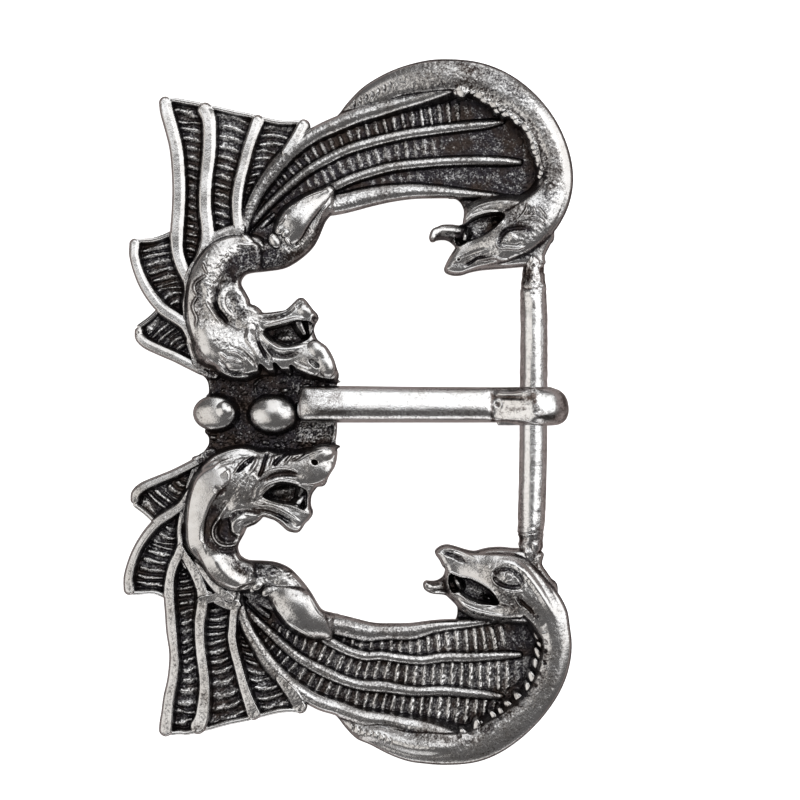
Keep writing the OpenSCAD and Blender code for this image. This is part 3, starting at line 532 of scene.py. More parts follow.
    def panel(self, rail_1, rail_2, sag, pitch, rise, bow, seed, z=WEB, outline=True, low=False, until=99.0):
        """A web between two rails with a hanging free edge, crossed by rounded ridges. Gives its rim."""
        r1, r2 = spline(rail_1, 4), spline(rail_2, 4)
        a, b = r1[0, :2], r2[0, :2]
        d = b - a
        normal = np.array([-d[1], d[0]])
        t = np.linspace(0, 1, 14)[1:-1, None]
        free = a + d * t - normal * sag * 4 * t * (1 - t)
        free += 1.3 * normal / max(np.hypot(*normal), 1e-6) * (4 * t * (1 - t)) ** 0.25
        poly = np.vstack([r1[::-1, :2], free, r2[:, :2]])
        i = self.near(poly, 0.6)
        inside = inside_distance(poly, self.x[i], self.y[i])
        if outline:
            self.s[i] = np.maximum(self.s[i], inside)
        k = i[inside > -0.5]
        x, y = self.x[k], self.y[k]
        d1, _, p1, _ = follow(r1[:, :2], x, y)
        d2, _, p2, _ = follow(r2[:, :2], x, y)
        v = d1 / np.maximum(d1 + d2, 1e-6)
        along = (lerp(p1, p2, v) if outline else p2) + bow * 4 * v * (1 - v)
        along = along + 0.07 * value_noise(x, y, 1.6, seed)
        wave = 0.5 + 0.5 * np.cos(2 * math.pi * along / pitch)
        fade = smoothstep((d1 - (0.75 if outline else 0.55)) / 0.5) * smoothstep((d2 - 0.5) / 0.4)
        gone = smoothstep((x - until) / 4)
        fade *= 1 - 0.9 * gone
        strength = 0.85 + 0.25 * value_noise(x, y, 1.1, seed + 1) + 0.2 * value_noise(x, y, 0.42, seed + 3)
        floor = z + rise * wave**1.1 * strength * fade + 0.045 * value_noise(x, y, 0.26, seed + 2)
        self.t[k] += (0.15 if low or outline else 0.32) - (0.25 if low or outline else 0.2) * wave * fade
        self.t[k] += (0.25 if low else 0.05) * gone
        self.h[k] = smooth_max(self.h[k], floor, 0.12)
        rim = np.vstack([a[None], free, b[None]])
        half_width, height = np.full(len(rim), 0.6), np.full(len(rim), 3.5)
        return np.column_stack([rim, half_width, height])


def fins(f, low):
    """The tail fin's ribs, the two crests and the webs between them."""
    rise = 0.55 if low else 0.45
    rims = [
        f.panel(FIN_A, FIN_B, 0.06, 1.32, rise, 0.35, 11),
        f.panel(FIN_B, FIN_C, 0.06, 1.32, rise, 0.35, 21),
        f.panel(FIN_C, FIN_D + WING_A[5:0:-1], 0.13, 1.25, rise * 0.9, 0.25, 31),
        f.panel(CREST_A, FIN_A[7:], 0.17, 1.2, rise, 0.2, 41),
        f.panel(CREST_B, CREST_A[5:], 0.13, 1.1, rise, 0.15, 51),
    ]
    for rim in rims:
        f.sweep(rim, vein_shape, 0.2, outline=False, steps=2, tone=-0.25)
    for rib in (FIN_A, FIN_B, FIN_C, FIN_D, FIN_ROOT, CREST_A, CREST_B):
        if low:
            rib = np.array(rib[::-1] if rib is FIN_ROOT else rib)
            slim = np.interp(np.arange(len(rib)), [0, 1, 2, 3], [1.05, 0.98, 0.88, 0.78])
            rib[:, 0] -= (1 - slim) * rib[:, 2] * (rib[0, 0] < -25)
            rib[:, 2] *= slim
        f.sweep(rib, tilted_rib_shape if low else rib_shape, 0.12, tone=0.1 if low else -0.1)


def wing(f, low):
    """The wing's ribs and its three crossed webs under the serpent."""
    rise = (0.5, 0.5, 0.5) if low else (0.48, 0.3, 0.16)
    edge = WING_A[:10] + SERPENT[2:] + [(24.5, 29.5)] + WING_D[::-1] + [(-8.0, 25.0)]
    f.slab([row[:2] for row in edge], WEB)
    f.panel(WING_A[2:] + [(18.0, 45.4, 0.6, 4.0), (22.0, 43.0, 0.6, 4.0)],
            WING_B[1:], 0.0, 1.27, rise[0], 0.0, 61, outline=False, low=low, until=20.0 if low else 14.0)
    f.panel(WING_B[2:] + [(24.0, 40.0, 0.5, 3.0)], WING_C_ROOT + WING_C, 0.0, 1.27, rise[1], 0.0, 71,
            outline=False, low=low, until=21.0 if low else 11.0)
    f.panel(WING_C + [(26.5, 34.0, 0.5, 3.0)], WING_D + [(24.5, 29.5, 0.5, 3.0)],
            0.0, 1.27, rise[2], 0.0, 81, outline=False, low=low, until=20.0 if low else 8.0)
    for rib in (WING_B, WING_C_ROOT, WING_C):
        f.sweep(rib, vein_shape, 0.12, tone=0.22)
    f.sweep(WING_A, vein_shape, 0.15, tone=0.1 if low else 0.15)
    f.sweep(WING_D, vein_shape, 0.15, tone=0.18)


def serpent_scales(f, low):
    """Tail notches and the lumpy inner edge of a serpent's body."""
    rng = np.random.default_rng(5 + low)
    edge = spline(INNER_EDGE, 5)
    arcs = arc_lengths(edge)
    wing_x, wing_y = 12.0, 34.0
    at = 0.0
    while at < arcs[-1]:
        step = rng.uniform(0.9, 2.1) if low else rng.uniform(0.45, 0.9)
        at += step
        x, y = (np.interp(at - 0.5 * step, arcs, edge[:, k]) for k in (0, 1))
        away = np.array([x - wing_x, y - wing_y]) / math.hypot(x - wing_x, y - wing_y)
        reach = rng.uniform(0.1, 0.6)
        f.spot(x + reach * away[0], y + reach * away[1], 0.55, 0.38,
               math.degrees(math.atan2(away[1], away[0])) + rng.uniform(-40, 40), -0.3)
        far = min(at / arcs[-1], 1.0)
        back = 0.6 * far - 0.1 if low else 0.0
        x, y = (np.interp(at, arcs, edge[:, k]) - back * away[k] + rng.uniform(-0.15, 0.15) for k in (0, 1))
        r = rng.uniform(0.28, 0.55) if low else rng.uniform(0.45, 0.8)
        f.dab_tarnish_and_light(x, y, r + 0.15, -0.4 * far if low else -0.4)
        z = rng.uniform(4.0, 4.9) + 0.5 * (1 - far) if low else rng.uniform(5.0, 5.7)
        longer, turn = 1.8 if low else 1.3, rng.uniform(20, 110)
        f.ball(x, y, longer * r, r, turn, z, 0.25, flat=0.35, lean=(0.28, -0.08))
    for k in range(7):
        x, y = 0.7 + 0.85 * k, 42.6 + 0.42 * k
        f.line(0.2, -0.35, (x, y), (x + 0.25, y + 0.55), (x + 0.1, y + 1.2), lean=0.4)


def serpent(f, low):
    """The serpent's body with its lumpy inner edge, painted highlights along its back and outer flank, and
    darker bands of tarnish and painted shade.
    """
    f.sweep(SERPENT, body_shape, 0.15, tone=0.08 if low else 0.16)
    serpent_scales(f, low)
    # Lighter strokes paint highlights along the back and flank; darker ones paint tarnish and shade.
    if low:
        f.line(1.4, 0.55, (0.5, 43.0), (3.6, 44.5), (7.0, 45.8), (11.0, 46.7), (15.0, 46.8))
        f.paint_tarnish_and_light(1.1, -0.45, (1.5, 44.3), (5.0, 46.1), (9.0, 47.5), (13.5, 48.0))
        f.paint_tarnish_and_light(0.9, -0.45, (29.2, 27.4), (30.2, 30.0), (30.6, 33.0), (30.1, 36.6))
        f.paint_tarnish_and_light(0.9, 0.3, (27.7, 33.6), (27.2, 37.2), (25.3, 40.3), (22.4, 42.8), (19.0, 44.8))
    else:
        f.paint_tarnish_and_light(0.9, -0.5, (26.9, 41.9), (29.0, 38.6), (30.3, 34.8), (30.6, 31.6))
        f.paint_tarnish_and_light(1.2, 0.2, (16.0, 48.2), (20.5, 47.0), (24.4, 43.9))
        f.paint_tarnish_and_light(0.7, -0.4, (2.6, 45.0), (6.0, 46.9), (9.6, 48.0))
        f.paint_tarnish_and_light(0.8, 0.2, (9.0, 48.6), (13.0, 49.0), (17.6, 48.8))
    f.paint_tarnish_and_light(0.8, 0.2, (8.0, 44.6), (12.4, 45.4), (16.6, 46.2), (20.0, 44.9))
    f.paint_tarnish_and_light(0.7, 0.2, (12.0, 49.0), (18.0, 48.9), (23.0, 46.6), (27.2, 42.8), (30.2, 38.0), (31.2, 33.0))


def upper_serpent_head(f):
    """Skull, open mouth with the tongue, eye and neck folds of the upper serpent."""
    f.outline(UPPER_SERPENT_EDGE)
    f.slab(JAW_WEB, WEB, outline=False)
    f.mass(UPPER_SERPENT_HEAD, 4.3, 5.4, 1.0)
    f.body(SERPENT_SKULL, 0.6)
    f.body(SERPENT_JAW, 0.4)
    f.hollow([(16.2, 26.2), (17.1, 26.9), (18.3, 27.4), (19.7, 27.75), (21.4, 27.8), (21.8, 27.4),
              (21.4, 26.7), (20.6, 25.9), (19.4, 24.95), (18.0, 24.25), (16.8, 23.85), (15.8, 23.3),
              (15.2, 23.3), (14.9, 24.0), (15.0, 25.0), (15.6, 26.2)], 1.9)
    f.body([(16.2, 25.0, 1.1, 2.9), (14.6, 25.3, 1.0, 3.5), (13.0, 25.4, 0.85, 3.9), (12.0, 25.1, 0.7, 4.2),
            (11.75, 24.5, 0.55, 4.3)], 0.1)
    f.line(0.5, -0.35, (16.0, 24.8), (14.5, 24.9), (13.2, 24.9), (12.5, 24.5))
    f.spot(20.7, 26.7, 1.0, 0.8, 20, 0.7)
    f.body([(16.5, 25.5, 0.2, 3.4), (16.35, 24.8, 0.25, 4.2), (16.3, 24.2, 0.3, 4.2)], 0.1)
    f.line(0.3, 0.4, (16.2, 26.5), (16.6, 27.6), (17.6, 28.5), (19.0, 29.1), (20.5, 29.4), (22.4, 29.5))
    f.line(0.22, 0.25, (16.4, 26.4), (17.2, 27.15), (18.4, 27.65), (19.8, 27.95), (21.4, 28.0))
    f.line(0.5, 0.25, (14.6, 20.9), (16.0, 21.5), (18.0, 22.3), (20.0, 22.7))
    f.spot(15.4, 21.3, 0.3, 0.22, 30, -0.5)
    f.line(0.28, -0.55, (16.1, 20.3), (17.1, 20.85), (18.0, 21.5), (19.3, 21.75))
    f.line(0.3, 0.4, (18.0, 21.1), (19.2, 21.4), (20.4, 21.6), (21.5, 21.2), (23.2, 21.3), lean=-0.3)
    f.line(0.5, -0.65, (21.0, 23.1), (21.3, 24.4), (22.1, 25.3), (23.2, 25.6), (24.6, 25.6), (25.2, 25.2))
    f.line(0.35, -0.35, (21.2, 23.4), (22.2, 23.3), (23.4, 23.2), (24.6, 23.7))
    f.ball(22.95, 24.25, 1.0, 0.8, 12, 7.25, 0.15, flat=0.9)
    f.line(0.25, 0.4, (20.5, 23.9), (20.7, 23.1), (21.3, 22.75), (22.2, 22.8), (23.6, 22.7), (24.8, 23.1))
    f.line(0.5, 0.5, (23.4, 26.6), (24.6, 27.0), (26.0, 27.0), (27.1, 26.4), (27.4, 25.9), lean=0.3)
    f.line(0.25, 0.35, (24.9, 29.3), (24.8, 28.4), (24.2, 27.4), (23.6, 26.7))
    f.line(0.22, 0.3, (25.8, 28.7), (26.1, 27.4))
    f.line(0.25, 0.3, (26.2, 28.8), (27.1, 27.8), (27.7, 26.9))
    f.line(0.3, -0.4, (25.0, 29.0), (25.3, 28.2), (25.0, 27.5))
    f.rough([(17, 21), (24, 21), (28, 26), (26, 30), (20, 29.5), (21.5, 27), (18, 24)], 0.03, 0.5, 91)
    f.paint_tarnish_and_light(1.0, 0.4, (21.2, 23.2), (21.6, 24.8), (23.4, 25.7), (25.2, 25.3))
    f.paint_tarnish_and_light(0.8, 0.35, (16.2, 20.3), (18.0, 21.3), (19.6, 21.7))
    f.paint_tarnish_and_light(1.6, 0.3, (20.0, 25.0), (22.2, 26.6), (22.6, 28.4))
    f.paint_tarnish_and_light(1.6, 0.25, (24.0, 21.4), (26.6, 22.6), (28.2, 24.8))
    f.paint_tarnish_and_light(2.0, 0.3, (28.2, 33.4), (27.8, 30.0), (26.0, 27.4), (23.6, 26.2))
    # Painted highlight: a white glint on the eye.
    f.paint_tarnish_and_light(0.35, -0.6, (23.3, 24.4), (23.6, 24.5))
    f.paint_tarnish_and_light(1.0, 0.25, (15.6, 24.8), (13.6, 24.6), (12.4, 24.6))
    f.paint_tarnish_and_light(1.0, -0.3, (14.0, 20.6), (15.6, 22.6), (17.4, 23.2))


def lower_serpent_head(f):
    """Skull, open mouth with the tongue, eye and row of pits of the lower serpent."""
    f.outline(LOWER_SERPENT_EDGE)
    f.slab([(24.5, 30.0), (13.5, 30.3), (14.4, 29.85), (15.3, 28.0), (13.4, 25.7), (13.2, 23.2), (15.1, 22.0),
            (22.0, 23.0)], WEB, outline=False)
    f.mass(LOWER_SERPENT_HEAD, 4.3, 5.4, 1.0)
    f.body([(13.2, 19.9, 1.0, 4.3), (14.3, 20.5, 1.6, 4.9), (16.2, 21.3, 1.85, 5.6), (18.2, 22.0, 2.5, 6.2),
            (20.4, 22.7, 3.3, 6.9), (22.7, 23.6, 3.9, 7.2), (25.2, 25.4, 3.2, 7.1), (27.5, 28.2, 2.5, 6.8),
            (28.7, 31.0, 2.0, 6.3)], 0.5)
    f.body([(15.0, 25.6, 0.5, 4.2), (16.0, 26.7, 0.7, 4.6), (17.5, 27.4, 0.8, 5.0), (19.2, 27.7, 0.9, 5.4),
            (21.2, 27.8, 1.1, 5.9), (23.6, 27.3, 1.6, 6.6)], 0.3)
    f.hollow([(15.8, 23.15), (17.0, 23.3), (18.4, 23.95), (19.6, 24.7), (20.5, 25.7), (21.0, 26.7),
              (20.2, 26.85), (18.5, 26.65), (17.0, 26.15), (16.0, 25.5), (15.4, 25.1), (14.7, 25.2),
              (14.2, 24.6), (14.0, 23.6), (14.3, 22.6)], 1.9)
    f.body([(15.2, 24.4, 1.2, 2.9), (13.5, 24.6, 1.05, 3.5), (12.1, 24.65, 0.85, 3.9),
            (11.1, 24.45, 0.65, 4.2), (10.85, 24.05, 0.4, 4.3)], 0.1)
    f.line(0.4, -0.7, (15.5, 24.9), (13.6, 25.0), (12.0, 25.1), (11.2, 24.9))
    f.line(0.35, -0.5, (13.0, 23.9), (12.2, 24.0), (11.5, 24.1))
    f.body([(14.9, 23.2, 0.3, 3.8), (15.3, 24.0, 0.35, 4.1), (15.6, 24.8, 0.25, 3.8)], 0.1)
    f.spot(19.7, 26.2, 1.0, 0.6, 20, 1.1)
    f.line(0.15, 0.5, (18.5, 25.9), (19.0, 25.4))
    f.line(0.22, 0.35, (13.3, 21.8), (14.3, 22.45), (15.6, 22.95), (17.0, 23.2), (18.5, 23.85), (19.6, 24.6),
           (20.4, 25.4), (21.0, 26.2))
    f.line(0.5, -0.6, (13.0, 19.5), (14.2, 19.85), (15.2, 20.3), (16.5, 21.0))
    f.line(0.25, 0.25, (13.2, 19.0), (15.0, 19.25), (16.6, 19.9), (18.0, 20.6))
    f.line(0.5, -0.6, (20.2, 22.7), (20.9, 22.0), (22.0, 21.9), (23.2, 22.35), (24.1, 23.2), (24.3, 24.1),
           taper=0.1)
    f.line(0.5, -0.6, (24.2, 24.1), (23.3, 24.3), (22.0, 24.2), (20.9, 23.7), (20.2, 22.9), taper=0.1)
    f.ball(22.3, 22.95, 1.02, 0.98, 0, 7.35, 0.1)
    f.line(0.16, -0.14, (21.8, 22.9), (21.9, 22.4), (22.4, 22.2), (22.8, 22.5), (22.8, 23.0), (22.4, 23.3),
           (21.9, 23.1), taper=0.05)
    f.line(0.25, 0.4, (19.8, 22.6), (20.3, 23.7), (21.3, 24.45), (22.7, 24.85), (24.3, 24.95))
    f.line(0.8, 0.35, (20.3, 20.9), (22.5, 20.9), (24.3, 21.9), (26.0, 24.0), (27.5, 26.4), (29.0, 29.0))
    f.line(0.2, 0.45, (23.1, 25.7), (23.6, 26.6), (24.3, 27.4))
    f.line(0.4, -0.7, (23.6, 25.8), (24.6, 26.9), (25.3, 27.5), (26.0, 28.5))
    f.line(0.4, 0.4, (15.2, 26.0), (16.2, 27.1), (17.4, 27.7), (18.8, 28.1), (20.5, 28.4), (22.4, 28.6))
    for x, y in ((16.3, 27.6), (17.5, 28.1), (18.75, 28.4), (20.3, 28.85), (21.6, 29.0)):
        f.spot(x, y, 0.35, 0.35, 0, -0.9)
    f.line(0.2, 0.25, (14.7, 25.25), (15.7, 25.65), (16.6, 26.35), (18.0, 26.9), (20.4, 27.05))
    f.rough([(17, 21), (24, 20.5), (27, 25), (26, 29), (20, 28.5), (21.5, 27), (18, 23.5)], 0.03, 0.5, 95)
    f.paint_tarnish_and_light(0.9, 0.35, (20.3, 22.9), (21.4, 22.0), (23.0, 22.2), (24.2, 23.4), (23.2, 24.3), (21.2, 23.9))
    f.paint_tarnish_and_light(0.8, 0.35, (13.2, 19.6), (15.0, 20.2), (16.6, 21.0))
    f.paint_tarnish_and_light(0.8, 0.4, (23.8, 26.0), (25.2, 27.3), (26.2, 28.8))
    f.paint_tarnish_and_light(1.0, 0.3, (15.4, 24.8), (13.4, 24.9), (12.0, 24.9))
    f.paint_tarnish_and_light(1.4, 0.25, (26.4, 21.0), (27.6, 23.4), (28.8, 25.4))
    # Painted highlight: a lighter band along the back of the head.
    f.paint_tarnish_and_light(1.1, -0.45, (19.0, 21.0), (21.8, 20.6), (24.2, 21.8), (26.1, 24.0), (27.6, 26.4), (28.8, 28.4))
    f.paint_tarnish_and_light(0.9, -0.4, (14.0, 22.6), (15.6, 22.4), (17.6, 22.9))
    f.paint_tarnish_and_light(0.8, -0.4, (15.4, 26.4), (17.0, 27.8), (19.0, 28.4), (21.6, 28.7))
    f.paint_tarnish_and_light(1.6, 0.3, (20.6, 25.0), (22.6, 26.4), (23.0, 28.2))


def upper_dragon(f):
    """Body, neck and head of the upper dragon."""
    f.outline(UPPER_DRAGON_EDGE)
    f.slab(BODY_FOOT, PLATE, outline=False)
    f.slab(NECK_WEB, WEB, outline=False)
    f.slab(NECK_SLOT, 3.9, outline=False)
    f.mass(UPPER_HEAD, 4.3, 5.4, 1.0)
    f.mass(UPPER_BELLY, 2.8, 4.4, 1.8)
    f.body([(-13.4, 22.9, 1.8, 4.7), (-16.3, 22.4, 2.3, 5.5), (-18.6, 20.9, 2.3, 5.9),
            (-20.0, 18.4, 2.2, 6.1), (-20.5, 15.6, 2.2, 6.1), (-20.1, 12.8, 2.5, 6.2),
            (-18.8, 10.6, 3.0, 6.3), (-17.0, 9.0, 3.3, 6.3)], 0.4)
    f.body([(-9.4, 23.6, 1.5, 4.6), (-8.4, 25.1, 2.1, 5.3), (-7.5, 26.7, 2.1, 5.7), (-6.2, 28.1, 1.8, 5.6),
            (-4.4, 29.6, 1.3, 5.1), (-2.7, 31.0, 0.7, 4.1)], 0.35)
    f.body(DRAGON_SKULL, 0.6)
    f.body([(-14.0, 12.3, 1.8, 5.8), (-12.2, 12.7, 1.2, 5.5), (-9.8, 13.1, 1.05, 5.3), (-7.8, 13.7, 1.2, 5.3),
            (-6.4, 14.3, 1.2, 5.2), (-5.4, 14.0, 0.9, 4.8)], 0.5)
    f.ball(-19.0, 9.6, 2.7, 3.2, 0, 6.4, 0.8)
    # Mouth, tongue and fangs
    f.hollow([(-11.8, 11.3), (-10.9, 10.4), (-10.0, 9.7), (-9.0, 9.25), (-8.2, 9.25), (-7.0, 9.6),
              (-6.0, 10.0), (-5.5, 10.4), (-5.0, 11.3), (-5.1, 12.3), (-5.8, 12.7), (-6.9, 12.7),
              (-7.6, 12.6), (-9.0, 12.25), (-10.5, 11.85), (-11.6, 11.6)], 1.9)
    f.spot(-9.4, 10.2, 2.2, 1.2, 10, 0.5)
    f.body([(-7.1, 12.9, 0.6, 4.9), (-6.7, 11.9, 0.5, 4.6), (-6.2, 11.0, 0.35, 4.3)], 0.15)
    f.body([(-5.3, 13.0, 0.7, 4.6), (-5.25, 12.1, 0.5, 4.3), (-5.15, 11.1, 0.5, 4.3), (-4.8, 10.1, 0.6, 4.9)],
           0.15)
    f.line(0.5, 0.4, (-12.6, 12.2), (-12.4, 11.5), (-11.6, 10.3), (-10.4, 9.2), (-9.0, 8.8), (-7.3, 9.0),
           (-6.0, 9.5))
    f.line(0.6, -0.7, (-11.4, 9.0), (-10.4, 8.15), (-8.9, 7.85), (-7.0, 8.3))
    # Muzzle
    f.ball(-4.2, 8.7, 1.6, 1.15, -35, 6.2, 0.5)
    f.ball(-3.1, 6.7, 1.3, 1.9, 15, 6.2, 0.5)
    f.line(0.5, -0.9, (-5.5, 7.5), (-4.8, 6.8), (-4.0, 6.2))
    f.line(0.16, 0.5, (-5.1, 7.0), (-4.5, 6.4))
    f.line(0.25, 0.35, (-7.4, 6.2), (-6.0, 5.6), (-4.4, 5.0), (-3.0, 4.65), (-1.9, 4.7))
    f.line(0.3, -0.35, (-7.6, 7.2), (-6.4, 6.6), (-5.2, 6.1))
    # Jaw
    f.line(0.4, 0.45, (-12.0, 12.0), (-10.5, 12.2), (-9.0, 12.6), (-7.4, 13.0), (-6.0, 13.2))
    f.line(0.45, -0.6, (-12.4, 12.9), (-10.5, 13.15), (-9.3, 13.45), (-8.2, 14.1), (-7.4, 14.7))
    f.line(0.25, 0.3, (-12.8, 13.5), (-10.5, 13.75), (-8.9, 14.05), (-7.8, 14.9), (-6.9, 15.6))
    f.ball(-6.1, 14.2, 1.15, 0.95, -30, 5.7, 0.3)
    f.line(0.4, -0.45, (-7.2, 14.4), (-6.9, 15.0), (-6.3, 15.4))
    f.line(0.4, 0.4, (-7.7, 14.9), (-7.0, 15.5), (-6.4, 15.75))
    f.spot(-4.7, 13.0, 0.5, 0.6, 0, -0.8)
    # Cheek folds
    f.line(1.0, 0.35, (-13.3, 12.2), (-13.9, 10.8), (-13.6, 9.4), (-12.9, 8.0), (-12.2, 6.8), lean=0.3)
    f.line(0.3, -0.5, (-12.9, 11.8), (-12.7, 10.4), (-12.2, 9.0), (-11.5, 7.7), (-10.9, 6.6))
    f.line(0.35, 0.4, (-12.4, 9.9), (-11.7, 8.9), (-11.0, 8.0), (-10.6, 7.3), lean=0.3)
    f.line(0.3, 0.35, (-16.6, 8.4), (-15.4, 8.0), (-14.3, 7.1), lean=0.3)
    f.line(0.3, -0.35, (-16.2, 9.1), (-14.9, 8.5), (-13.7, 7.4), (-13.0, 6.3))
    f.line(0.25, 0.3, (-15.3, 9.4), (-14.1, 8.4), (-13.0, 7.1), (-12.6, 6.1))
    f.line(0.3, -0.35, (-14.5, 9.9), (-13.4, 8.5), (-12.5, 6.7), (-12.0, 5.9))
    # Whiskers over the plate
    for spike in (
        [(-12.8, 7.9, 0.7, 5.8), (-11.6, 6.7, 0.5, 5.0), (-10.5, 5.5, 0.25, 3.8)],
        [(-10.7, 7.5, 0.7, 5.7), (-9.4, 6.5, 0.5, 4.9), (-8.2, 5.4, 0.25, 3.7)],
        [(-8.5, 7.2, 0.7, 5.6), (-7.3, 6.3, 0.5, 4.9), (-6.1, 5.6, 0.3, 4.2)],
    ):
        f.body(spike, 0.15)
    for notch in (
        [(-10.5, 6.7), (-10.1, 6.8), (-9.5, 6.1), (-8.6, 5.2), (-9.4, 4.7), (-10.2, 5.2)],
        [(-8.2, 6.4), (-7.8, 6.5), (-7.2, 5.9), (-6.4, 5.3), (-7.1, 4.7), (-8.0, 5.2)],
        [(-12.5, 6.5), (-12.1, 6.6), (-11.5, 6.0), (-10.8, 5.2), (-11.6, 4.6), (-12.6, 5.3)],
    ):
        f.hollow(notch, 3.3, 0.5)
    # Eye and brow
    f.line(0.35, -0.45, (-18.4, 7.5), (-17.3, 6.5), (-16.8, 5.6), (-15.8, 5.25), (-14.8, 5.4), (-14.5, 6.2))
    f.ball(-15.9, 6.4, 1.2, 0.75, -8, 6.25, 0.3)
    f.line(0.3, 0.4, (-18.9, 6.6), (-17.7, 5.6), (-16.2, 4.95), (-14.4, 4.85), (-13.6, 5.1))
    f.line(0.3, 0.3, (-18.0, 8.4), (-17.0, 7.5), (-15.9, 7.3), (-14.8, 6.8))
    # Neck: scalloped rim, facets and slot
    for rim in (
        [(-20.3, 20.8), (-20.0, 20.0), (-19.6, 19.3)],
        [(-19.7, 19.1), (-20.4, 18.7), (-21.3, 17.95), (-21.45, 17.1), (-20.9, 16.2)],
        [(-21.0, 16.2), (-21.6, 15.1), (-21.6, 14.3), (-21.1, 13.1), (-21.3, 11.8)],
    ):
        f.line(0.3, 0.5, *rim, lean=-0.2, taper=0.12)
    f.paint_tarnish_and_light(0.8, 0.25, (-20.9, 18.4), (-20.8, 15.5), (-20.6, 12.6))
    # Painted highlight: a lighter band down the neck.
    f.paint_tarnish_and_light(0.9, -0.4, (-15.6, 22.6), (-17.6, 21.4), (-18.9, 19.4), (-19.3, 17.0), (-19.2, 15.2))
    f.line(0.9, -0.35, (-20.6, 18.2), (-20.5, 16.6), (-20.6, 15.0), (-20.1, 13.4), (-20.4, 12.0))
    f.line(0.4, 0.4, (-20.0, 15.6), (-18.9, 13.8), (-17.8, 12.2), lean=0.3)
    f.line(0.45, -0.5, (-19.0, 15.8), (-18.1, 14.3), (-17.2, 12.9), (-16.6, 11.8))
    # Ear
    f.line(0.7, -0.3, (-18.1, 17.6), (-18.7, 16.2), (-18.4, 14.7), (-17.6, 13.6), (-16.6, 13.0))
    f.line(0.4, -0.3, (-18.0, 17.8), (-16.7, 18.2), (-15.4, 17.8))
    f.spot(-16.2, 15.6, 0.8, 1.1, 20, -0.3)
    f.body([(-15.9, 13.1, 0.4, 5.2), (-17.0, 13.9, 0.55, 5.6), (-17.7, 15.1, 0.65, 5.75),
            (-17.5, 16.6, 0.65, 5.7), (-16.5, 17.3, 0.6, 5.4), (-15.4, 16.9, 0.5, 4.8),
            (-14.5, 16.0, 0.4, 4.2), (-13.8, 15.1, 0.35, 3.7), (-12.6, 14.4, 0.3, 3.4)], 0.45)
    f.ball(-15.6, 15.1, 0.9, 1.3, 25, 5.5, 0.4)
    f.ball(-14.0, 13.9, 0.7, 0.4, -30, 4.7, 0.2)
    # Shoulder feathers and rough belly
    for x, y in ((-16.9, 21.9), (-17.5, 21.2), (-18.0, 20.5), (-17.6, 19.7), (-18.1, 19.0), (-18.7, 18.3),
                 (-19.1, 17.5)):
        f.spot(x, y, 0.55, 0.32, 50, 0.2)
    f.rough([(-17, 22.5), (-12, 23.5), (-7.5, 24.0), (-4.8, 25.6), (-3.6, 26.2), (-6.5, 21.6), (-12, 19.8),
             (-16, 17.8), (-17.5, 19.5)], 0.14, 0.6, 101)
    f.rough([(-21, 22), (-15, 24), (-14, 14), (-12, 13.5), (-13, 8), (-18, 8), (-21, 12)], 0.03, 0.35, 103)
    f.line(0.6, -0.6, (-15.8, 23.0), (-14.2, 22.8), (-12.8, 23.2))
    f.ball(-14.1, 24.0, 1.1, 0.6, -42, 5.1, 0.2)
    # Fur in front of the hind leg
    f.ball(-10.3, 23.9, 1.1, 0.8, -60, 5.3, 0.2)
    f.ball(-9.4, 25.6, 1.0, 0.7, 50, 5.4, 0.2)
    f.ball(-8.8, 25.0, 0.7, 0.5, 60, 5.5, 0.15)
    for x, y, rx, ry, turn, z in (
        (-12.5, 23.0, 0.7, 0.35, -50, 4.7), (-11.9, 21.9, 0.7, 0.3, -80, 4.2),
        (-8.5, 23.9, 0.7, 0.3, -60, 5.2), (-7.4, 23.0, 0.75, 0.3, 30, 4.6),
        (-8.3, 21.7, 0.6, 0.28, 60, 3.8), (-10.0, 21.6, 0.6, 0.3, -70, 4.1),
        (-9.2, 22.6, 0.5, 0.3, -60, 4.4), (-13.4, 22.2, 0.5, 0.3, -50, 4.7),
        (-6.7, 23.9, 0.5, 0.3, 20, 4.4),
    ):
        f.ball(x, y, rx, ry, turn, z, 0.15)
    for rim in (
        [(-8.4, 28.4), (-7.9, 28.8), (-7.0, 29.0)],
        [(-9.9, 25.4), (-9.8, 26.0), (-9.2, 26.6), (-8.7, 27.6)],
        [(-11.0, 24.2), (-10.8, 24.7), (-10.0, 25.3)],
        [(-6.9, 29.3), (-6.0, 30.0), (-4.6, 30.6), (-3.0, 31.1)],
    ):
        f.line(0.3, 0.4, *rim, lean=0.3)
    f.line(0.3, 0.3, (-2.5, 29.3), (-3.4, 28.2), (-4.1, 26.8), (-4.7, 25.2), lean=-0.3)
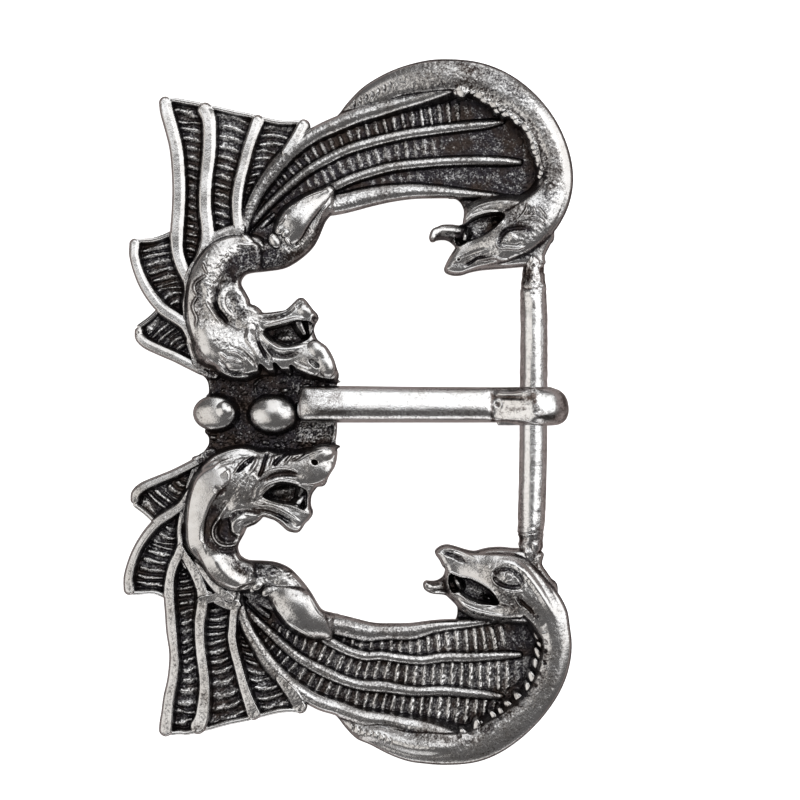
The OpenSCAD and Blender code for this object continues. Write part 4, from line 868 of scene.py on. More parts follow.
    # Tarnish; the last four strokes paint highlights on the shoulder and neck, the head, the muzzle and the
    # haunch
    f.paint_tarnish_and_light_area([(-17.5, 19.8), (-16.5, 22.8), (-13.5, 23.3), (-11.0, 23.2), (-8.5, 22.6), (-6.2, 23.4),
                  (-5.3, 25.0), (-3.9, 27.3), (-2.2, 28.8), (-2.2, 27.6), (-4.5, 23.5), (-7.5, 20.7),
                  (-12.0, 19.4), (-16.0, 17.5)], 0.55, 0.7)
    f.paint_tarnish_and_light(1.6, 0.3, (-17.2, 20.4), (-17.0, 18.9), (-16.6, 18.2))
    f.paint_tarnish_and_light(1.3, 0.4, (-15.7, 16.0), (-15.4, 14.6), (-14.6, 13.6))
    f.paint_tarnish_and_light(0.8, 0.35, (-18.4, 17.2), (-18.8, 15.8), (-18.0, 14.0), (-16.8, 12.6))
    f.paint_tarnish_and_light(0.9, 0.3, (-12.6, 9.4), (-11.8, 7.8), (-11.0, 6.6))
    f.paint_tarnish_and_light(0.8, 0.3, (-11.8, 9.3), (-10.3, 8.2), (-8.8, 7.9), (-7.2, 8.3))
    f.paint_tarnish_and_light(0.8, 0.3, (-12.2, 13.2), (-9.3, 13.7), (-7.9, 14.5))
    f.paint_tarnish_and_light(1.0, 0.3, (-4.7, 13.2), (-5.0, 11.4), (-4.4, 10.0))
    f.paint_tarnish_and_light(1.2, 0.25, (-16.6, 5.6), (-15.4, 5.2), (-14.4, 5.6))
    f.paint_tarnish_and_light(0.7, 0.3, (-20.9, 12.0), (-21.0, 9.6), (-20.3, 7.6))
    f.paint_tarnish_and_light(1.2, -0.35, (-17.4, 21.7), (-19.0, 19.8), (-19.6, 17.4))
    f.paint_tarnish_and_light(1.8, -0.3, (-20.2, 11.6), (-19.6, 9.6), (-18.4, 7.6))
    f.paint_tarnish_and_light(1.0, -0.3, (-4.4, 8.8), (-3.0, 7.0), (-2.6, 5.8))
    f.paint_tarnish_and_light(1.2, -0.3, (-2.9, 31.0), (-4.4, 28.9), (-6.0, 26.6))


def lower_dragon(f, warped):
    """Body, neck and head of the lower dragon. Warped are the same places in the upper half's tables."""
    f.outline(LOWER_DRAGON_EDGE)
    warped.slab(BODY_FOOT, PLATE, outline=False)
    warped.slab(NECK_WEB, WEB, outline=False)
    warped.slab(NECK_SLOT, 3.4, outline=False)
    f.sweep([(-16.6, 26.1, 0.6, 4.2), (-18.2, 24.9, 0.6, 4.3), (-19.7, 23.1, 0.6, 4.3),
             (-20.7, 21.3, 0.65, 4.2), (-21.3, 19.6, 0.6, 4.0)], tilted_rib_shape, 0.15, outline=False)
    f.sweep([(-16.4, 25.6, 0.8, 4.3), (-18.8, 26.0, 0.6, 3.9), (-20.6, 26.4, 0.6, 3.8)], tilted_rib_shape,
            0.15, outline=False)
    f.mass(LOWER_HEAD, 4.3, 5.4, 1.0)
    f.mass(LOWER_BELLY, 2.8, 4.4, 1.8)
    f.body([(-12.6, 23.2, 1.6, 4.6), (-15.2, 23.0, 2.0, 5.3), (-17.4, 21.8, 2.3, 5.8),
            (-18.8, 19.6, 2.2, 6.0), (-19.9, 17.0, 2.2, 6.0), (-20.3, 14.4, 2.2, 6.0),
            (-19.6, 11.8, 2.6, 6.2), (-18.0, 9.6, 3.2, 6.3)], 0.5)
    f.body([(-16.8, 9.6, 3.2, 6.3), (-13.9, 9.4, 3.4, 6.4), (-11.2, 8.6, 2.6, 6.1), (-9.0, 8.0, 2.2, 5.9),
            (-6.8, 8.0, 2.3, 6.0), (-4.9, 7.8, 2.5, 6.1), (-3.4, 7.2, 2.0, 5.9), (-2.5, 6.4, 1.4, 5.3)], 0.6)
    f.body([(-15.4, 12.6, 1.9, 5.9), (-13.0, 13.1, 1.6, 5.6), (-10.6, 13.5, 1.35, 5.4),
            (-8.4, 14.2, 1.3, 5.3), (-6.9, 15.0, 1.2, 5.1), (-5.9, 14.8, 0.8, 4.8)], 0.5)
    # Smooth neck band, lightened as a painted highlight, dark groove and second band
    f.sweep([(-19.6, 21.4, 0.3, 4.9), (-20.5, 20.0, 0.8, 5.4), (-21.2, 18.4, 1.15, 5.9),
             (-21.3, 16.6, 1.25, 6.0), (-21.2, 14.6, 1.35, 6.1), (-20.6, 12.2, 1.6, 6.3),
             (-19.6, 10.2, 1.9, 6.45), (-18.0, 8.9, 1.6, 6.4)], tilted_rib_shape, 0.7, outline=False,
            tone=-0.38)
    f.paint_tarnish_and_light(1.3, 0.35, (-18.6, 11.3), (-17.6, 10.6))
    f.line(0.9, -0.55, (-18.4, 13.2), (-19.1, 14.7), (-19.8, 16.4), (-19.9, 18.2), taper=0.12)
    f.line(0.45, 0.45, (-16.9, 12.9), (-17.5, 13.9), (-18.3, 15.2), (-18.8, 16.4))
    f.hollow([(-17.7, 15.0), (-16.8, 14.7), (-16.4, 15.6), (-16.1, 16.8), (-15.1, 17.2), (-15.4, 18.0),
              (-16.6, 18.3), (-17.8, 17.9), (-18.4, 16.9), (-18.1, 15.8)], 4.9, 0.7)
    f.line(0.32, 0.7, (-17.9, 14.8), (-18.8, 16.0), (-18.8, 17.4), (-18.0, 18.4), (-16.7, 18.7),
           (-15.5, 18.4), (-14.9, 17.6), taper=0.15)
    f.line(0.5, -0.4, (-19.2, 17.9), (-18.2, 19.1), (-16.7, 19.5), (-15.4, 19.1))
    # Small curl under the chin
    f.line(0.5, -0.5, (-12.6, 14.3), (-14.2, 13.9), (-15.8, 14.2), (-16.6, 15.0))
    f.sweep([(-12.3, 15.0, 0.4, 4.5), (-13.6, 14.7, 0.45, 5.2), (-15.0, 14.85, 0.5, 5.6),
             (-15.9, 15.5, 0.5, 5.6), (-15.9, 16.2, 0.45, 5.4), (-15.2, 16.7, 0.45, 5.0),
             (-14.4, 16.6, 0.4, 4.6)], body_shape, 0.1, outline=False, tone=-0.3)
    f.ball(-13.6, 15.6, 0.8, 0.45, 10, 4.5, 0.15)
    # Mouth, tongue and fangs
    f.hollow([(-11.9, 11.8), (-11.1, 10.8), (-10.0, 10.15), (-8.8, 9.95), (-7.4, 10.3), (-6.3, 10.7),
              (-5.8, 11.2), (-5.8, 12.2), (-5.9, 13.3), (-6.5, 13.5), (-7.2, 12.9), (-8.0, 12.9),
              (-9.5, 12.75), (-11.0, 12.3)], 1.9)
    f.spot(-9.8, 11.2, 2.2, 1.2, -10, 0.5)
    f.body([(-6.4, 10.5, 0.6, 4.9), (-6.6, 11.1, 0.4, 4.5), (-6.9, 11.7, 0.25, 4.1)], 0.15)
    f.body([(-7.3, 13.2, 0.6, 4.8), (-6.9, 12.6, 0.45, 4.5), (-6.3, 11.9, 0.3, 4.2)], 0.15)
    f.body([(-5.6, 10.5, 0.6, 4.9), (-5.75, 11.6, 0.45, 4.3), (-5.75, 12.6, 0.45, 4.3),
            (-5.8, 13.7, 0.6, 4.6)], 0.15)
    f.line(0.3, 0.4, (-12.6, 11.6), (-11.4, 10.3), (-9.7, 9.65), (-8.3, 9.7), (-7.0, 10.05), (-6.2, 10.4))
    f.line(0.6, -0.75, (-11.9, 9.7), (-10.4, 8.85), (-9.0, 8.6), (-7.7, 8.7), (-6.6, 9.1))
    f.line(0.25, 0.35, (-12.4, 9.0), (-11.0, 8.2), (-9.5, 7.9), (-8.0, 8.05), (-6.8, 8.7))
    f.line(0.35, -0.4, (-13.2, 12.2), (-13.2, 10.9), (-12.4, 9.8), (-11.6, 9.2))
    # Muzzle and nostril
    f.ball(-3.8, 5.95, 1.8, 1.2, -20, 6.15, 0.5)
    f.ball(-3.4, 8.1, 1.4, 1.7, 10, 5.9, 0.6)
    f.spot(-4.7, 7.0, 0.6, 0.45, 30, -0.9)
    f.line(0.3, 0.3, (-7.4, 6.95), (-6.2, 6.2), (-4.9, 5.6), (-3.2, 5.15))
    # Jaw
    f.line(0.28, 0.45, (-12.0, 12.1), (-10.5, 12.5), (-8.5, 12.95), (-6.6, 13.7), (-5.5, 14.3))
    f.line(0.28, 0.45, (-13.8, 12.6), (-12.2, 13.05), (-10.8, 13.15), (-9.5, 13.65), (-8.0, 14.5),
           (-6.8, 15.3))
    f.line(0.4, -0.6, (-13.4, 13.5), (-10.6, 14.1), (-8.6, 15.1), (-7.2, 16.0))
    f.line(0.4, 0.5, (-11.0, 14.5), (-9.5, 15.1), (-8.5, 16.0), (-7.2, 16.5), (-6.3, 15.8))
    # Eye, horns and brow
    f.line(0.45, -0.75, (-15.6, 8.5), (-14.7, 7.5), (-13.7, 6.7), (-13.1, 6.2))
    f.line(0.28, 0.5, (-16.0, 8.7), (-15.3, 7.7), (-14.5, 6.8), (-13.4, 6.1))
    f.ball(-14.2, 7.3, 0.8, 0.35, 45, 5.9, 0.05)
    f.line(0.4, 0.5, (-13.7, 8.5), (-13.1, 7.6), (-12.7, 6.7), (-12.6, 5.9))
    f.line(0.4, -0.8, (-12.5, 9.2), (-12.0, 8.0), (-11.7, 6.9), (-11.2, 5.5), taper=0.15)
    f.line(0.3, 0.45, (-11.0, 7.8), (-10.6, 6.8), (-10.4, 5.9))
    f.line(0.45, -0.8, (-10.4, 7.5), (-9.7, 6.6), (-8.9, 5.9), (-8.0, 5.4), taper=0.15)
    f.line(0.3, 0.45, (-8.9, 7.2), (-8.2, 6.4), (-7.7, 5.8))
    f.line(0.35, -0.6, (-8.0, 6.9), (-7.0, 6.3), (-6.0, 5.7))
    f.line(0.3, 0.35, (-20.9, 8.6), (-20.0, 7.3), (-18.4, 6.1), (-16.6, 5.4), (-15.0, 5.1), (-13.6, 5.3))
    f.line(0.35, -0.25, (-18.6, 7.9), (-17.2, 7.2), (-15.8, 6.9))
    f.line(0.25, 0.2, (-18.4, 7.3), (-16.8, 6.6), (-15.0, 6.2))
    f.rough([(-19, 6), (-13, 5.5), (-12, 9), (-12, 12), (-16, 14), (-17, 9)], 0.04, 0.35, 111)
    f.spot(-18.0, 11.0, 1.0, 0.7, 40, -0.3)
    # Shoulder and hind leg
    f.line(1.4, 0.35, (-19.0, 20.0), (-17.9, 22.0), (-16.2, 23.6), (-14.3, 24.4), taper=0.2)
    f.rough([(-17, 19.5), (-15, 21), (-9, 21.5), (-6.8, 23.5), (-8, 24), (-13, 24), (-16, 23)], 0.13, 0.5,
            113)
    f.line(0.5, -0.6, (-15.6, 24.9), (-14.0, 24.3), (-12.6, 23.9))
    f.body([(-11.0, 22.9, 1.0, 4.3), (-9.4, 23.6, 1.2, 4.5), (-8.0, 24.7, 1.2, 4.5), (-6.9, 25.9, 1.0, 4.4)],
           0.3)
    f.body([(-10.5, 25.2, 1.0, 4.8), (-9.0, 26.1, 2.0, 5.5), (-7.2, 27.3, 2.7, 5.8), (-5.7, 28.8, 2.6, 5.6),
            (-4.2, 30.2, 1.8, 4.9), (-3.0, 31.2, 0.9, 3.6)], 0.9)
    f.line(0.28, 0.5, (-10.3, 25.9), (-10.65, 26.6), (-10.0, 27.8), (-9.2, 28.9), (-8.5, 29.7), (-7.4, 30.3),
           (-6.4, 30.9), (-5.3, 31.5), (-3.5, 32.1), lean=-0.2)
    f.line(0.3, 0.3, (-5.9, 24.6), (-4.9, 26.4), (-4.0, 27.9), (-2.6, 28.7))
    for x, y, rx, ry, turn, z in (
        (-12.7, 24.3, 0.9, 0.6, -35, 4.9), (-11.4, 25.1, 0.9, 0.6, -45, 5.0),
        (-13.4, 24.9, 0.5, 0.35, -35, 4.4), (-12.2, 22.8, 0.6, 0.4, 20, 4.5),
        (-10.4, 22.2, 0.7, 0.35, 10, 4.4), (-13.6, 22.3, 0.6, 0.35, 40, 4.5),
        (-8.7, 22.8, 0.7, 0.35, -30, 4.4),
    ):
        f.ball(x, y, rx, ry, turn, z, 0.15)
    # Tarnish; the last four strokes paint highlights on the neck, the shoulder, the haunch and the muzzle
    f.paint_tarnish_and_light_area([(-17.0, 19.2), (-16.0, 22.2), (-13.5, 23.6), (-11.0, 23.4), (-9.0, 22.6), (-7.0, 23.3),
                  (-5.2, 25.8), (-3.8, 27.6), (-3.6, 26.8), (-6.8, 22.5), (-11.0, 20.8), (-15.2, 20.4),
                  (-16.0, 18.8)], 0.45, 0.6)
    f.paint_tarnish_and_light(0.9, 0.6, (-18.5, 13.4), (-19.2, 15.0), (-19.8, 17.0), (-19.0, 18.8), (-17.0, 19.5),
            (-15.6, 19.3))
    f.paint_tarnish_and_light(1.4, 0.5, (-16.9, 15.4), (-17.1, 16.8), (-16.0, 17.7))
    f.paint_tarnish_and_light(0.9, 0.5, (-12.8, 15.4), (-14.4, 15.6))
    f.paint_tarnish_and_light(0.6, 0.4, (-12.5, 14.2), (-14.5, 13.9), (-16.3, 14.8))
    f.paint_tarnish_and_light(0.8, 0.35, (-12.0, 9.6), (-10.0, 8.7), (-7.6, 8.7))
    f.paint_tarnish_and_light(0.7, 0.35, (-13.0, 13.6), (-10.4, 14.2), (-8.4, 15.2))
    f.paint_tarnish_and_light(1.0, 0.35, (-5.4, 13.6), (-5.6, 12.0), (-5.2, 10.9))
    f.paint_tarnish_and_light(1.0, 0.25, (-18.2, 11.2), (-17.6, 10.8))
    f.paint_tarnish_and_light(0.6, 0.4, (-15.4, 8.2), (-13.4, 6.5))
    f.paint_tarnish_and_light(0.9, 0.3, (-12.4, 8.6), (-11.4, 6.0))
    f.paint_tarnish_and_light(0.9, 0.3, (-10.2, 7.2), (-8.2, 5.6))
    f.paint_tarnish_and_light(1.2, 0.3, (-11.0, 24.3), (-12.6, 25.2))
    f.paint_tarnish_and_light(1.4, -0.35, (-20.2, 10.4), (-21.4, 13.6), (-21.5, 17.4))
    f.paint_tarnish_and_light(1.3, -0.4, (-18.6, 20.6), (-17.2, 22.6), (-15.2, 23.9))
    f.paint_tarnish_and_light(1.0, -0.3, (-8.4, 25.8), (-6.4, 27.6), (-4.4, 29.7))
    f.paint_tarnish_and_light(1.2, -0.25, (-4.6, 5.8), (-3.0, 6.4))


# Round bosses on the plate: x, y, half length, half width, turn, middle height, roundness, lean in x and y
DOMES = [
    (-18.85, -0.15, 3.0, 2.45, 0, 4.4, 0.42, 0.15, 0.0), (-17.35, 0.35, 1.2, 1.2, 0, 4.75, 0.8, 0.0, -0.05),
    (-10.65, -0.35, 3.4, 2.7, -4, 4.8, 0.62, 0.03, 0.0),
]


def middle_plate(f, sign):
    """Half of the pitted plate: the upper one with the sign 1, the lower one with -1."""
    f.outline(UPPER_PLATE_EDGE if sign > 0 else LOWER_PLATE_EDGE)
    whole = [(-1.0, -1.0), (-1.0, 6.0), (-12.0, 8.0), (-21.5, 7.5), (-21.5, -1.0)]
    f.slab(whole, PLATE, outline=False)
    f.rough(whole, 0.16, 1.3, 121 + sign)
    f.rough(whole, 0.13, 0.45, 131 + sign)
    f.rough(whole, 0.09, 0.24, 141 + sign)
    if sign > 0:
        f.line(0.3, 0.4, (-12.9, 2.3), (-13.1, 3.7), (-12.5, 4.5), (-11.3, 4.8))
        lumps = (-9.0, 3.0), (-14.6, 2.7), (-6.0, 3.6)
    else:
        f.line(0.35, 0.4, (-1.9, 1.0), (-2.0, 3.0), (-2.5, 4.8))
        lumps = (-11.6, 4.3), (-10.0, 4.7), (-5.0, 4.2), (-19.0, 3.6), (-12.4, 3.3), (-15.4, 3.0)
    for x, y in lumps:
        f.ball(x, y, 0.55, 0.3, 15, PLATE + 0.35, 0.1)
    f.paint_tarnish_and_light_area(whole, 0.34, 0.3)
    f.line(0.9, -0.35, (-15.3, -1.5), (-15.3, 0.5), (-15.2, 1.5))


def domes(f):
    """The polished bosses, which cross the line between the halves."""
    for x, y, rx, ry, turn, z, flat, lean_x, lean_y in DOMES:
        f.dab_tarnish_and_light(x, y, max(rx, ry) + 0.4, -0.9)
        f.ball(x, y, rx, ry, turn, z, 0.45, True, flat, (lean_x, lean_y))



def sculpt(x, y, u, v, low):
    """One half. x, y are places in the upper half's tables, u, v the true ones with v from the middle."""
    f = Field(x, y)
    g = f.seen_from(u, v)
    wing(f, low)
    fins(f, low)
    middle_plate(g, -1 if low else 1)
    if low:
        lower_dragon(g, f)
    else:
        upper_dragon(g)
    serpent(f, low)
    if low:
        lower_serpent_head(g)
    else:
        upper_serpent_head(g)
    return f


def whole_relief():
    """The grid's coordinates, and on it the height, the distance inside the outline and the tarnish with
    painted shade and highlights.
    """
    axes = (c + PITCH * np.arange(int(e / PITCH) + 1) for c, e in zip(CORNER, EXTENT))
    X, Y = np.meshgrid(*axes, indexing="ij")
    f = Field(X.ravel() - CENTRE[0], Y.ravel() - CENTRE[1])
    for low in (False, True):
        m = f.y < 0.0 if low else f.y >= 0.0
        x, y = f.x[m], -f.y[m] if low else f.y[m]
        half = sculpt(*(upper_places(x, y) if low else (x, y)), x, y, low)
        f.h[m], f.s[m], f.t[m] = half.h, half.s, half.t
    domes(f)
    return X, Y, *(A.reshape(X.shape) for A in (np.minimum(f.h, TOP), f.s, f.t))


# The casting's four pieces lie between these places in y
STRIPS = [-50.0, -28.5, 0.0, 28.5, 50.0]
BACK_TONE = 0.35  # tarnish of the flat back


def relief_cells(X, Y, H, S, j0, j1, ids, points):
    """Faces over the cells of rows j0 to j1: squares inside, cut polygons along the outline.

    Points on the outline are made here and kept in points, so that neighbouring strips share them.
    """
    inside = S > 0
    a, b = inside[:-1, j0:j1], inside[1:, j0:j1]
    c, d = inside[1:, j0 + 1 : j1 + 1], inside[:-1, j0 + 1 : j1 + 1]
    count = a.astype(int) + b + c + d
    i, j = np.nonzero(count == 4)
    j = j + j0
    quads = np.column_stack([ids[i, j], ids[i + 1, j], ids[i + 1, j + 1], ids[i, j + 1]])
    cut = []

    def crossing(p, q):
        key = (p, q) if p < q else (q, p)
        if key not in points["cut"]:
            u, v = key
            t = min(max(S[u] / (S[u] - S[v]), 0.03), 0.97)
            points["cut"][key] = points["n"] + len(points["more"])
            z = max(lerp(H[u], H[v], t), 1.0)
            points["more"].append((lerp(X[u], X[v], t), lerp(Y[u], Y[v], t), z))
        return points["cut"][key]

    for i, j in zip(*np.nonzero((count > 0) & (count < 4))):
        j = j + j0
        ring = [(i, j), (i + 1, j), (i + 1, j + 1), (i, j + 1)]
        poly = []
        for k in range(4):
            p, q = ring[k], ring[(k + 1) % 4]
            if inside[p]:
                poly.append(int(ids[p]))
            if inside[p] != inside[q]:
                poly.append(crossing(p, q))
        cut.append(poly)
    return quads, cut


def flat_mesh(points, edges, kind):
    """Flat faces between points and edges: points, faces, and which points they were.

    Of the kind 0 they are triangles and fill the hull, of the kind 2 they are the areas between the edges.
    """
    out = geometry.delaunay_2d_cdt([Vector((float(x), float(y))) for x, y in points], edges, [], kind, 1e-7)
    assert len(out[0]) == len(points), (len(out[0]), len(points))
    return out[0], out[2], out[3]


def placed(name, data):
    """A new object in the scene."""
    obj = bpy.data.objects.new(name, data)
    bpy.context.collection.objects.link(obj)
    return obj


def object_with_tarnish_and_light(name, mesh, patina_and_painted_light):
    """An object of a mesh whose points carry their tarnish, painted shade and painted highlights."""
    tone = mesh.attributes.new("patina_and_painted_light", "FLOAT", "POINT")
    tone.data.foreach_set("value", patina_and_painted_light.astype(np.float32))
    return placed(name, mesh)


def relief_piece(name, quads, cut, co, normals, patina_and_painted_light, edge_normal):
    """A closed mesh of one strip: top, walls down to the flat back, and the back."""
    used = np.unique(np.concatenate([quads.ravel(), np.array([v for f in cut for v in f], int)]))
    new = np.full(len(co), -1)
    new[used] = np.arange(len(used))
    n = len(used)
    quads = new[quads]
    polys = [[int(new[v]) for v in f] for f in cut]
    edges = [quads[:, [k, (k + 1) % 4]] for k in range(4)]
    edges.append(np.array([(f[k], f[(k + 1) % len(f)]) for f in polys for k in range(len(f))], int))
    edges = np.vstack(edges)
    key = np.sort(edges, axis=1)
    key = key[:, 0] * (n + 1) + key[:, 1]
    _, first, times = np.unique(key, return_index=True, return_counts=True)
    rim = edges[first[times == 1]]
    rim_ids = np.unique(rim)
    place = np.full(n, -1)
    place[rim_ids] = np.arange(len(rim_ids))
    top = co[used]
    floor_co = top[rim_ids].copy()
    floor_co[:, 2] = 0.0
    m = len(rim_ids)
    a, b = rim[:, 0], rim[:, 1]
    walls = np.column_stack([b, a, n + place[a], n + place[b]])
    marks = [(int(place[p]), int(place[q])) for p, q in rim]
    _, areas, origin = flat_mesh(floor_co[:, :2], marks, 2)
    back = [[n + origin[v][0] for v in reversed(f)] for f in areas]
    verts = np.vstack([top, floor_co])
    corners = [quads.ravel()] + [np.array(f) for f in polys] + [walls.ravel()] + [np.array(f) for f in back]
    sizes = np.concatenate([np.full(len(quads), 4), [len(f) for f in polys], np.full(len(walls), 4),
                            [len(f) for f in back]]).astype(int)
    loops = np.concatenate(corners).astype(int)
    mesh = bpy.data.meshes.new(name)
    mesh.vertices.add(len(verts))
    mesh.vertices.foreach_set("co", (verts * MM).ravel())
    mesh.loops.add(len(loops))
    mesh.loops.foreach_set("vertex_index", loops)
    mesh.polygons.add(len(sizes))
    mesh.polygons.foreach_set("loop_start", np.concatenate([[0], np.cumsum(sizes)[:-1]]).astype(int))
    mesh.polygons.foreach_set("loop_total", sizes)
    mesh.update(calc_edges=True)
    mesh.validate()
    split = np.zeros((len(loops), 3))
    wall = quads.size + sum(len(f) for f in polys)
    under = wall + walls.size
    split[:wall] = normals[used][loops[:wall]]
    above = loops[wall:under]
    above = np.where(above >= n, rim_ids[np.clip(above - n, 0, m - 1)], above)
    split[wall:under] = edge_normal[used][above]
    split[under:] = (0, 0, -1)
    mesh.normals_split_custom_set(split)
    piece = object_with_tarnish_and_light(name, mesh, np.concatenate([patina_and_painted_light[used], np.full(m, BACK_TONE)]))
    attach(piece, "frame")
    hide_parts("buckle_frame")
    return piece


def blurred(A, k):
    """Box average over 2k + 1 cells each way, twice."""
    for _ in range(2):
        c = np.pad(np.cumsum(np.cumsum(np.pad(A, k, mode="edge"), 0), 1), ((1, 0), (1, 0)))
        n = 2 * k + 1
        A = (c[n:, n:] - c[:-n, n:] - c[n:, :-n] + c[:-n, :-n]) / n**2
    return A


def widest(A, k, pick):
    """Largest or smallest value within k cells each way."""
    for axis in (0, 1):
        B = np.moveaxis(np.pad(A, [(k, k) if a == axis else (0, 0) for a in (0, 1)], mode="edge"), axis, 0)
        n = 1
        while 2 * n <= 2 * k + 1:
            B = pick(B[:-n], B[n:])
            n *= 2
        rest = 2 * k + 1 - n
        B = pick(B[:-rest], B[rest:]) if rest else B
        A = np.moveaxis(B, 0, axis)
    return A


def sample(A, x, y):
    """Value of a grid at places in between."""
    u = np.clip((x - CORNER[0]) / PITCH, 0, A.shape[0] - 1.001)
    v = np.clip((y - CORNER[1]) / PITCH, 0, A.shape[1] - 1.001)
    i, j = u.astype(int), v.astype(int)
    return between(lambda a, b: A[a, b], i, j, u - i, v - j)


def cast_frame():
    """The casting's pieces: patina in the hollows, painted shade on steep sides and, with some tarnish, along
    the edge.
    """
    X, Y, H, S, T = whole_relief()
    inside = S > 0
    reach = 28
    filled = blurred(widest(widest(np.where(inside, H, BASE), reach, np.maximum), reach, np.minimum), 3)
    deep = np.clip((filled - H - 0.35) / 1.0, 0, 1)
    near = np.clip((blurred(np.where(inside, H, 1.6), 4) - H) / 0.4, -1, 1)
    # Painted shade, with a little tarnish: a dark band along the outline where the rim falls away.
    edge = 0.3 * smoothstep((0.3 - S) / 0.25)
    gx, gy = np.gradient(H, PITCH)
    # Painted shade: the steeper a slope, the darker it is made.
    steep_shade = np.clip((np.hypot(gx, gy) - 0.9) / 1.4, 0, 1)
    # Sum of the patina in hollows, the painted shade along the edge and on steep slopes, and the tarnish,
    # painted shade and painted highlights of T.
    tarnish_and_painted_light = 0.34 + 0.3 * deep + 0.42 * np.minimum(near, 0.6) + edge + 0.6 * steep_shade + T
    H = H - 0.25 * np.clip(1 - S / 0.32, 0, 1) ** 1.2
    grit = value_noise(X, Y, 0.24, 301) + 0.6 * value_noise(X, Y, 0.5, 302)
    H = np.clip(H + 0.035 * grit * smoothstep((tarnish_and_painted_light - 0.15) / 0.5), 0.8, TOP)
    H = np.where(S > -0.3, H, BASE)
    ids = np.full(X.shape, -1)
    ids[inside] = np.arange(inside.sum())
    points = {"n": int(inside.sum()), "cut": {}, "more": []}
    rows = [int(round((v - CORNER[1]) / PITCH)) for v in STRIPS]
    strips = [relief_cells(X, Y, H, S, r, q, ids, points) for r, q in zip(rows, rows[1:])]
    co = np.vstack([np.column_stack([X[inside], Y[inside], H[inside]]), np.array(points["more"])])
    gx, gy = np.gradient(H, PITCH)
    x, y = co[:, :2].T
    slope = np.column_stack([-gx[inside], -gy[inside], np.ones(points["n"])])
    cut_x, cut_y = x[points["n"] :], y[points["n"] :]
    cut_slope = np.column_stack([-sample(gx, cut_x, cut_y), -sample(gy, cut_x, cut_y), np.ones(len(cut_x))])
    normals = np.vstack([slope, cut_slope])
    normals /= np.linalg.norm(normals, axis=1, keepdims=True)
    patina_and_painted_light = np.clip(sample(tarnish_and_painted_light, x, y), 0, 1)
    sx, sy = np.gradient(blurred(S, 1), PITCH)
    out = np.column_stack([-sample(sx, x, y), -sample(sy, x, y), np.zeros(len(co))])
    out /= np.maximum(np.linalg.norm(out, axis=1, keepdims=True), 1e-9)
    names = ["casting_lower_wing", "casting_lower_dragon", "casting_upper_dragon", "casting_upper_wing"]
    return [relief_piece(n, q, c, co, normals, patina_and_painted_light, out) for n, (q, c) in zip(names, strips)]


def smooth_piece(name, verts, faces, patina_and_painted_light, body, node):
    """A piece of many small smooth faces, with its tarnish and painted shade as a value at each point."""
    mesh = bpy.data.meshes.new(name)
    mesh.from_pydata((verts * MM).tolist(), [], faces)
    mesh.shade_smooth()
    piece = object_with_tarnish_and_light(name, mesh, np.clip(patina_and_painted_light, 0, 1))
    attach(piece, body)
    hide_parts(node)
    return piece


def ring_faces(a, b):
    """Squares between two rings of points, given by their numbers and running the same way round."""
    return np.column_stack([a, np.roll(a, -1), np.roll(b, -1), b]).tolist()


# The bar along y: place, middle in x, radius, roughness
BAR = [
    (-21.6, -0.1, 0.9, 1.0), (-20.8, -0.15, 1.2, 1.0), (-19.6, -0.2, 1.5, 1.0), (-18.6, -0.25, 1.7, 0.9),
    (-17.2, -0.3, 1.88, 0.5), (-15.0, -0.2, 1.95, 0.15), (-10.0, -0.05, 1.97, 0.1), (-4.0, 0.05, 1.97, 0.1),
    (2.0, 0.1, 1.95, 0.1), (9.0, 0.15, 1.93, 0.1), (15.0, 0.12, 1.9, 0.15), (17.2, 0.1, 1.85, 0.5),
    (18.8, 0.1, 1.7, 0.9), (20.3, 0.1, 1.5, 1.0), (21.4, 0.1, 1.35, 1.0), (22.6, 0.1, 0.9, 1.0),
]


def worn_bar():
    """The strap bar: an uneven round rod whose ends are rough and pitted where they join the casting."""
    low, high = (np.array(v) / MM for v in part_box("hinge_bar"))
    mid_x, mid_z = (low[0] + high[0]) / 2, (low[2] + high[2]) / 2
    line = np.array(BAR)
    y = np.arange(low[1] + 0.03, high[1] - 0.03, 0.11)
    turn = np.linspace(0, 2 * math.pi, 96, endpoint=False)
    Y, A = np.meshgrid(y, turn, indexing="ij")
    shift, r, rough = (np.interp(Y, line[:, 0], line[:, k]) for k in (1, 2, 3))
    radius = 2.0
    cx, cz = np.cos(A) * radius, np.sin(A) * radius
    lump = value_noise(Y, cx + 0.6 * cz, 1.1, 201) + value_noise(Y, cz - 0.6 * cx, 1.1, 202)
    grit = value_noise(Y, cx + 0.6 * cz, 0.4, 203) + value_noise(Y, cz - 0.6 * cx, 0.4, 204)
    long = value_noise(Y * 0.06, cx + 9.0, 0.35, 205)
    R = r + 0.02 * long * (1 - rough) + rough * (0.13 * lump + 0.07 * grit - 0.1) + 0.007 * lump
    R = np.minimum(R, radius)
    crack = np.exp(-((Y - 17.2 - 0.12 * lump) / 0.12) ** 2) + np.exp(-((Y + 16.9 + 0.12 * lump) / 0.12) ** 2)
    crack = crack * (cx < 0.6)
    R = R - 0.1 * crack
    # Painted shade: the bar is darkened along both sides, where it rounds away.
    flank_shade = smoothstep((np.abs(cx) - 1.35) / 0.4)
    tone = 0.22 + 0.22 * flank_shade + 0.35 * rough - 0.5 * rough * (0.5 * lump + 0.6 * grit)
    tone = tone + 0.12 * long + 0.45 * crack
    verts = np.column_stack([(mid_x + shift + R * np.cos(A)).ravel(), Y.ravel(),
                             (mid_z + R * np.sin(A)).ravel()])
    rings = np.arange(Y.size).reshape(Y.shape)
    faces = [f for low, high in zip(rings, rings[1:]) for f in ring_faces(high, low)]
    faces += [rings[0].tolist(), rings[-1][::-1].tolist()]
    return smooth_piece("strap_bar_worn", verts, faces, tone.ravel(), "frame", "hinge_bar")


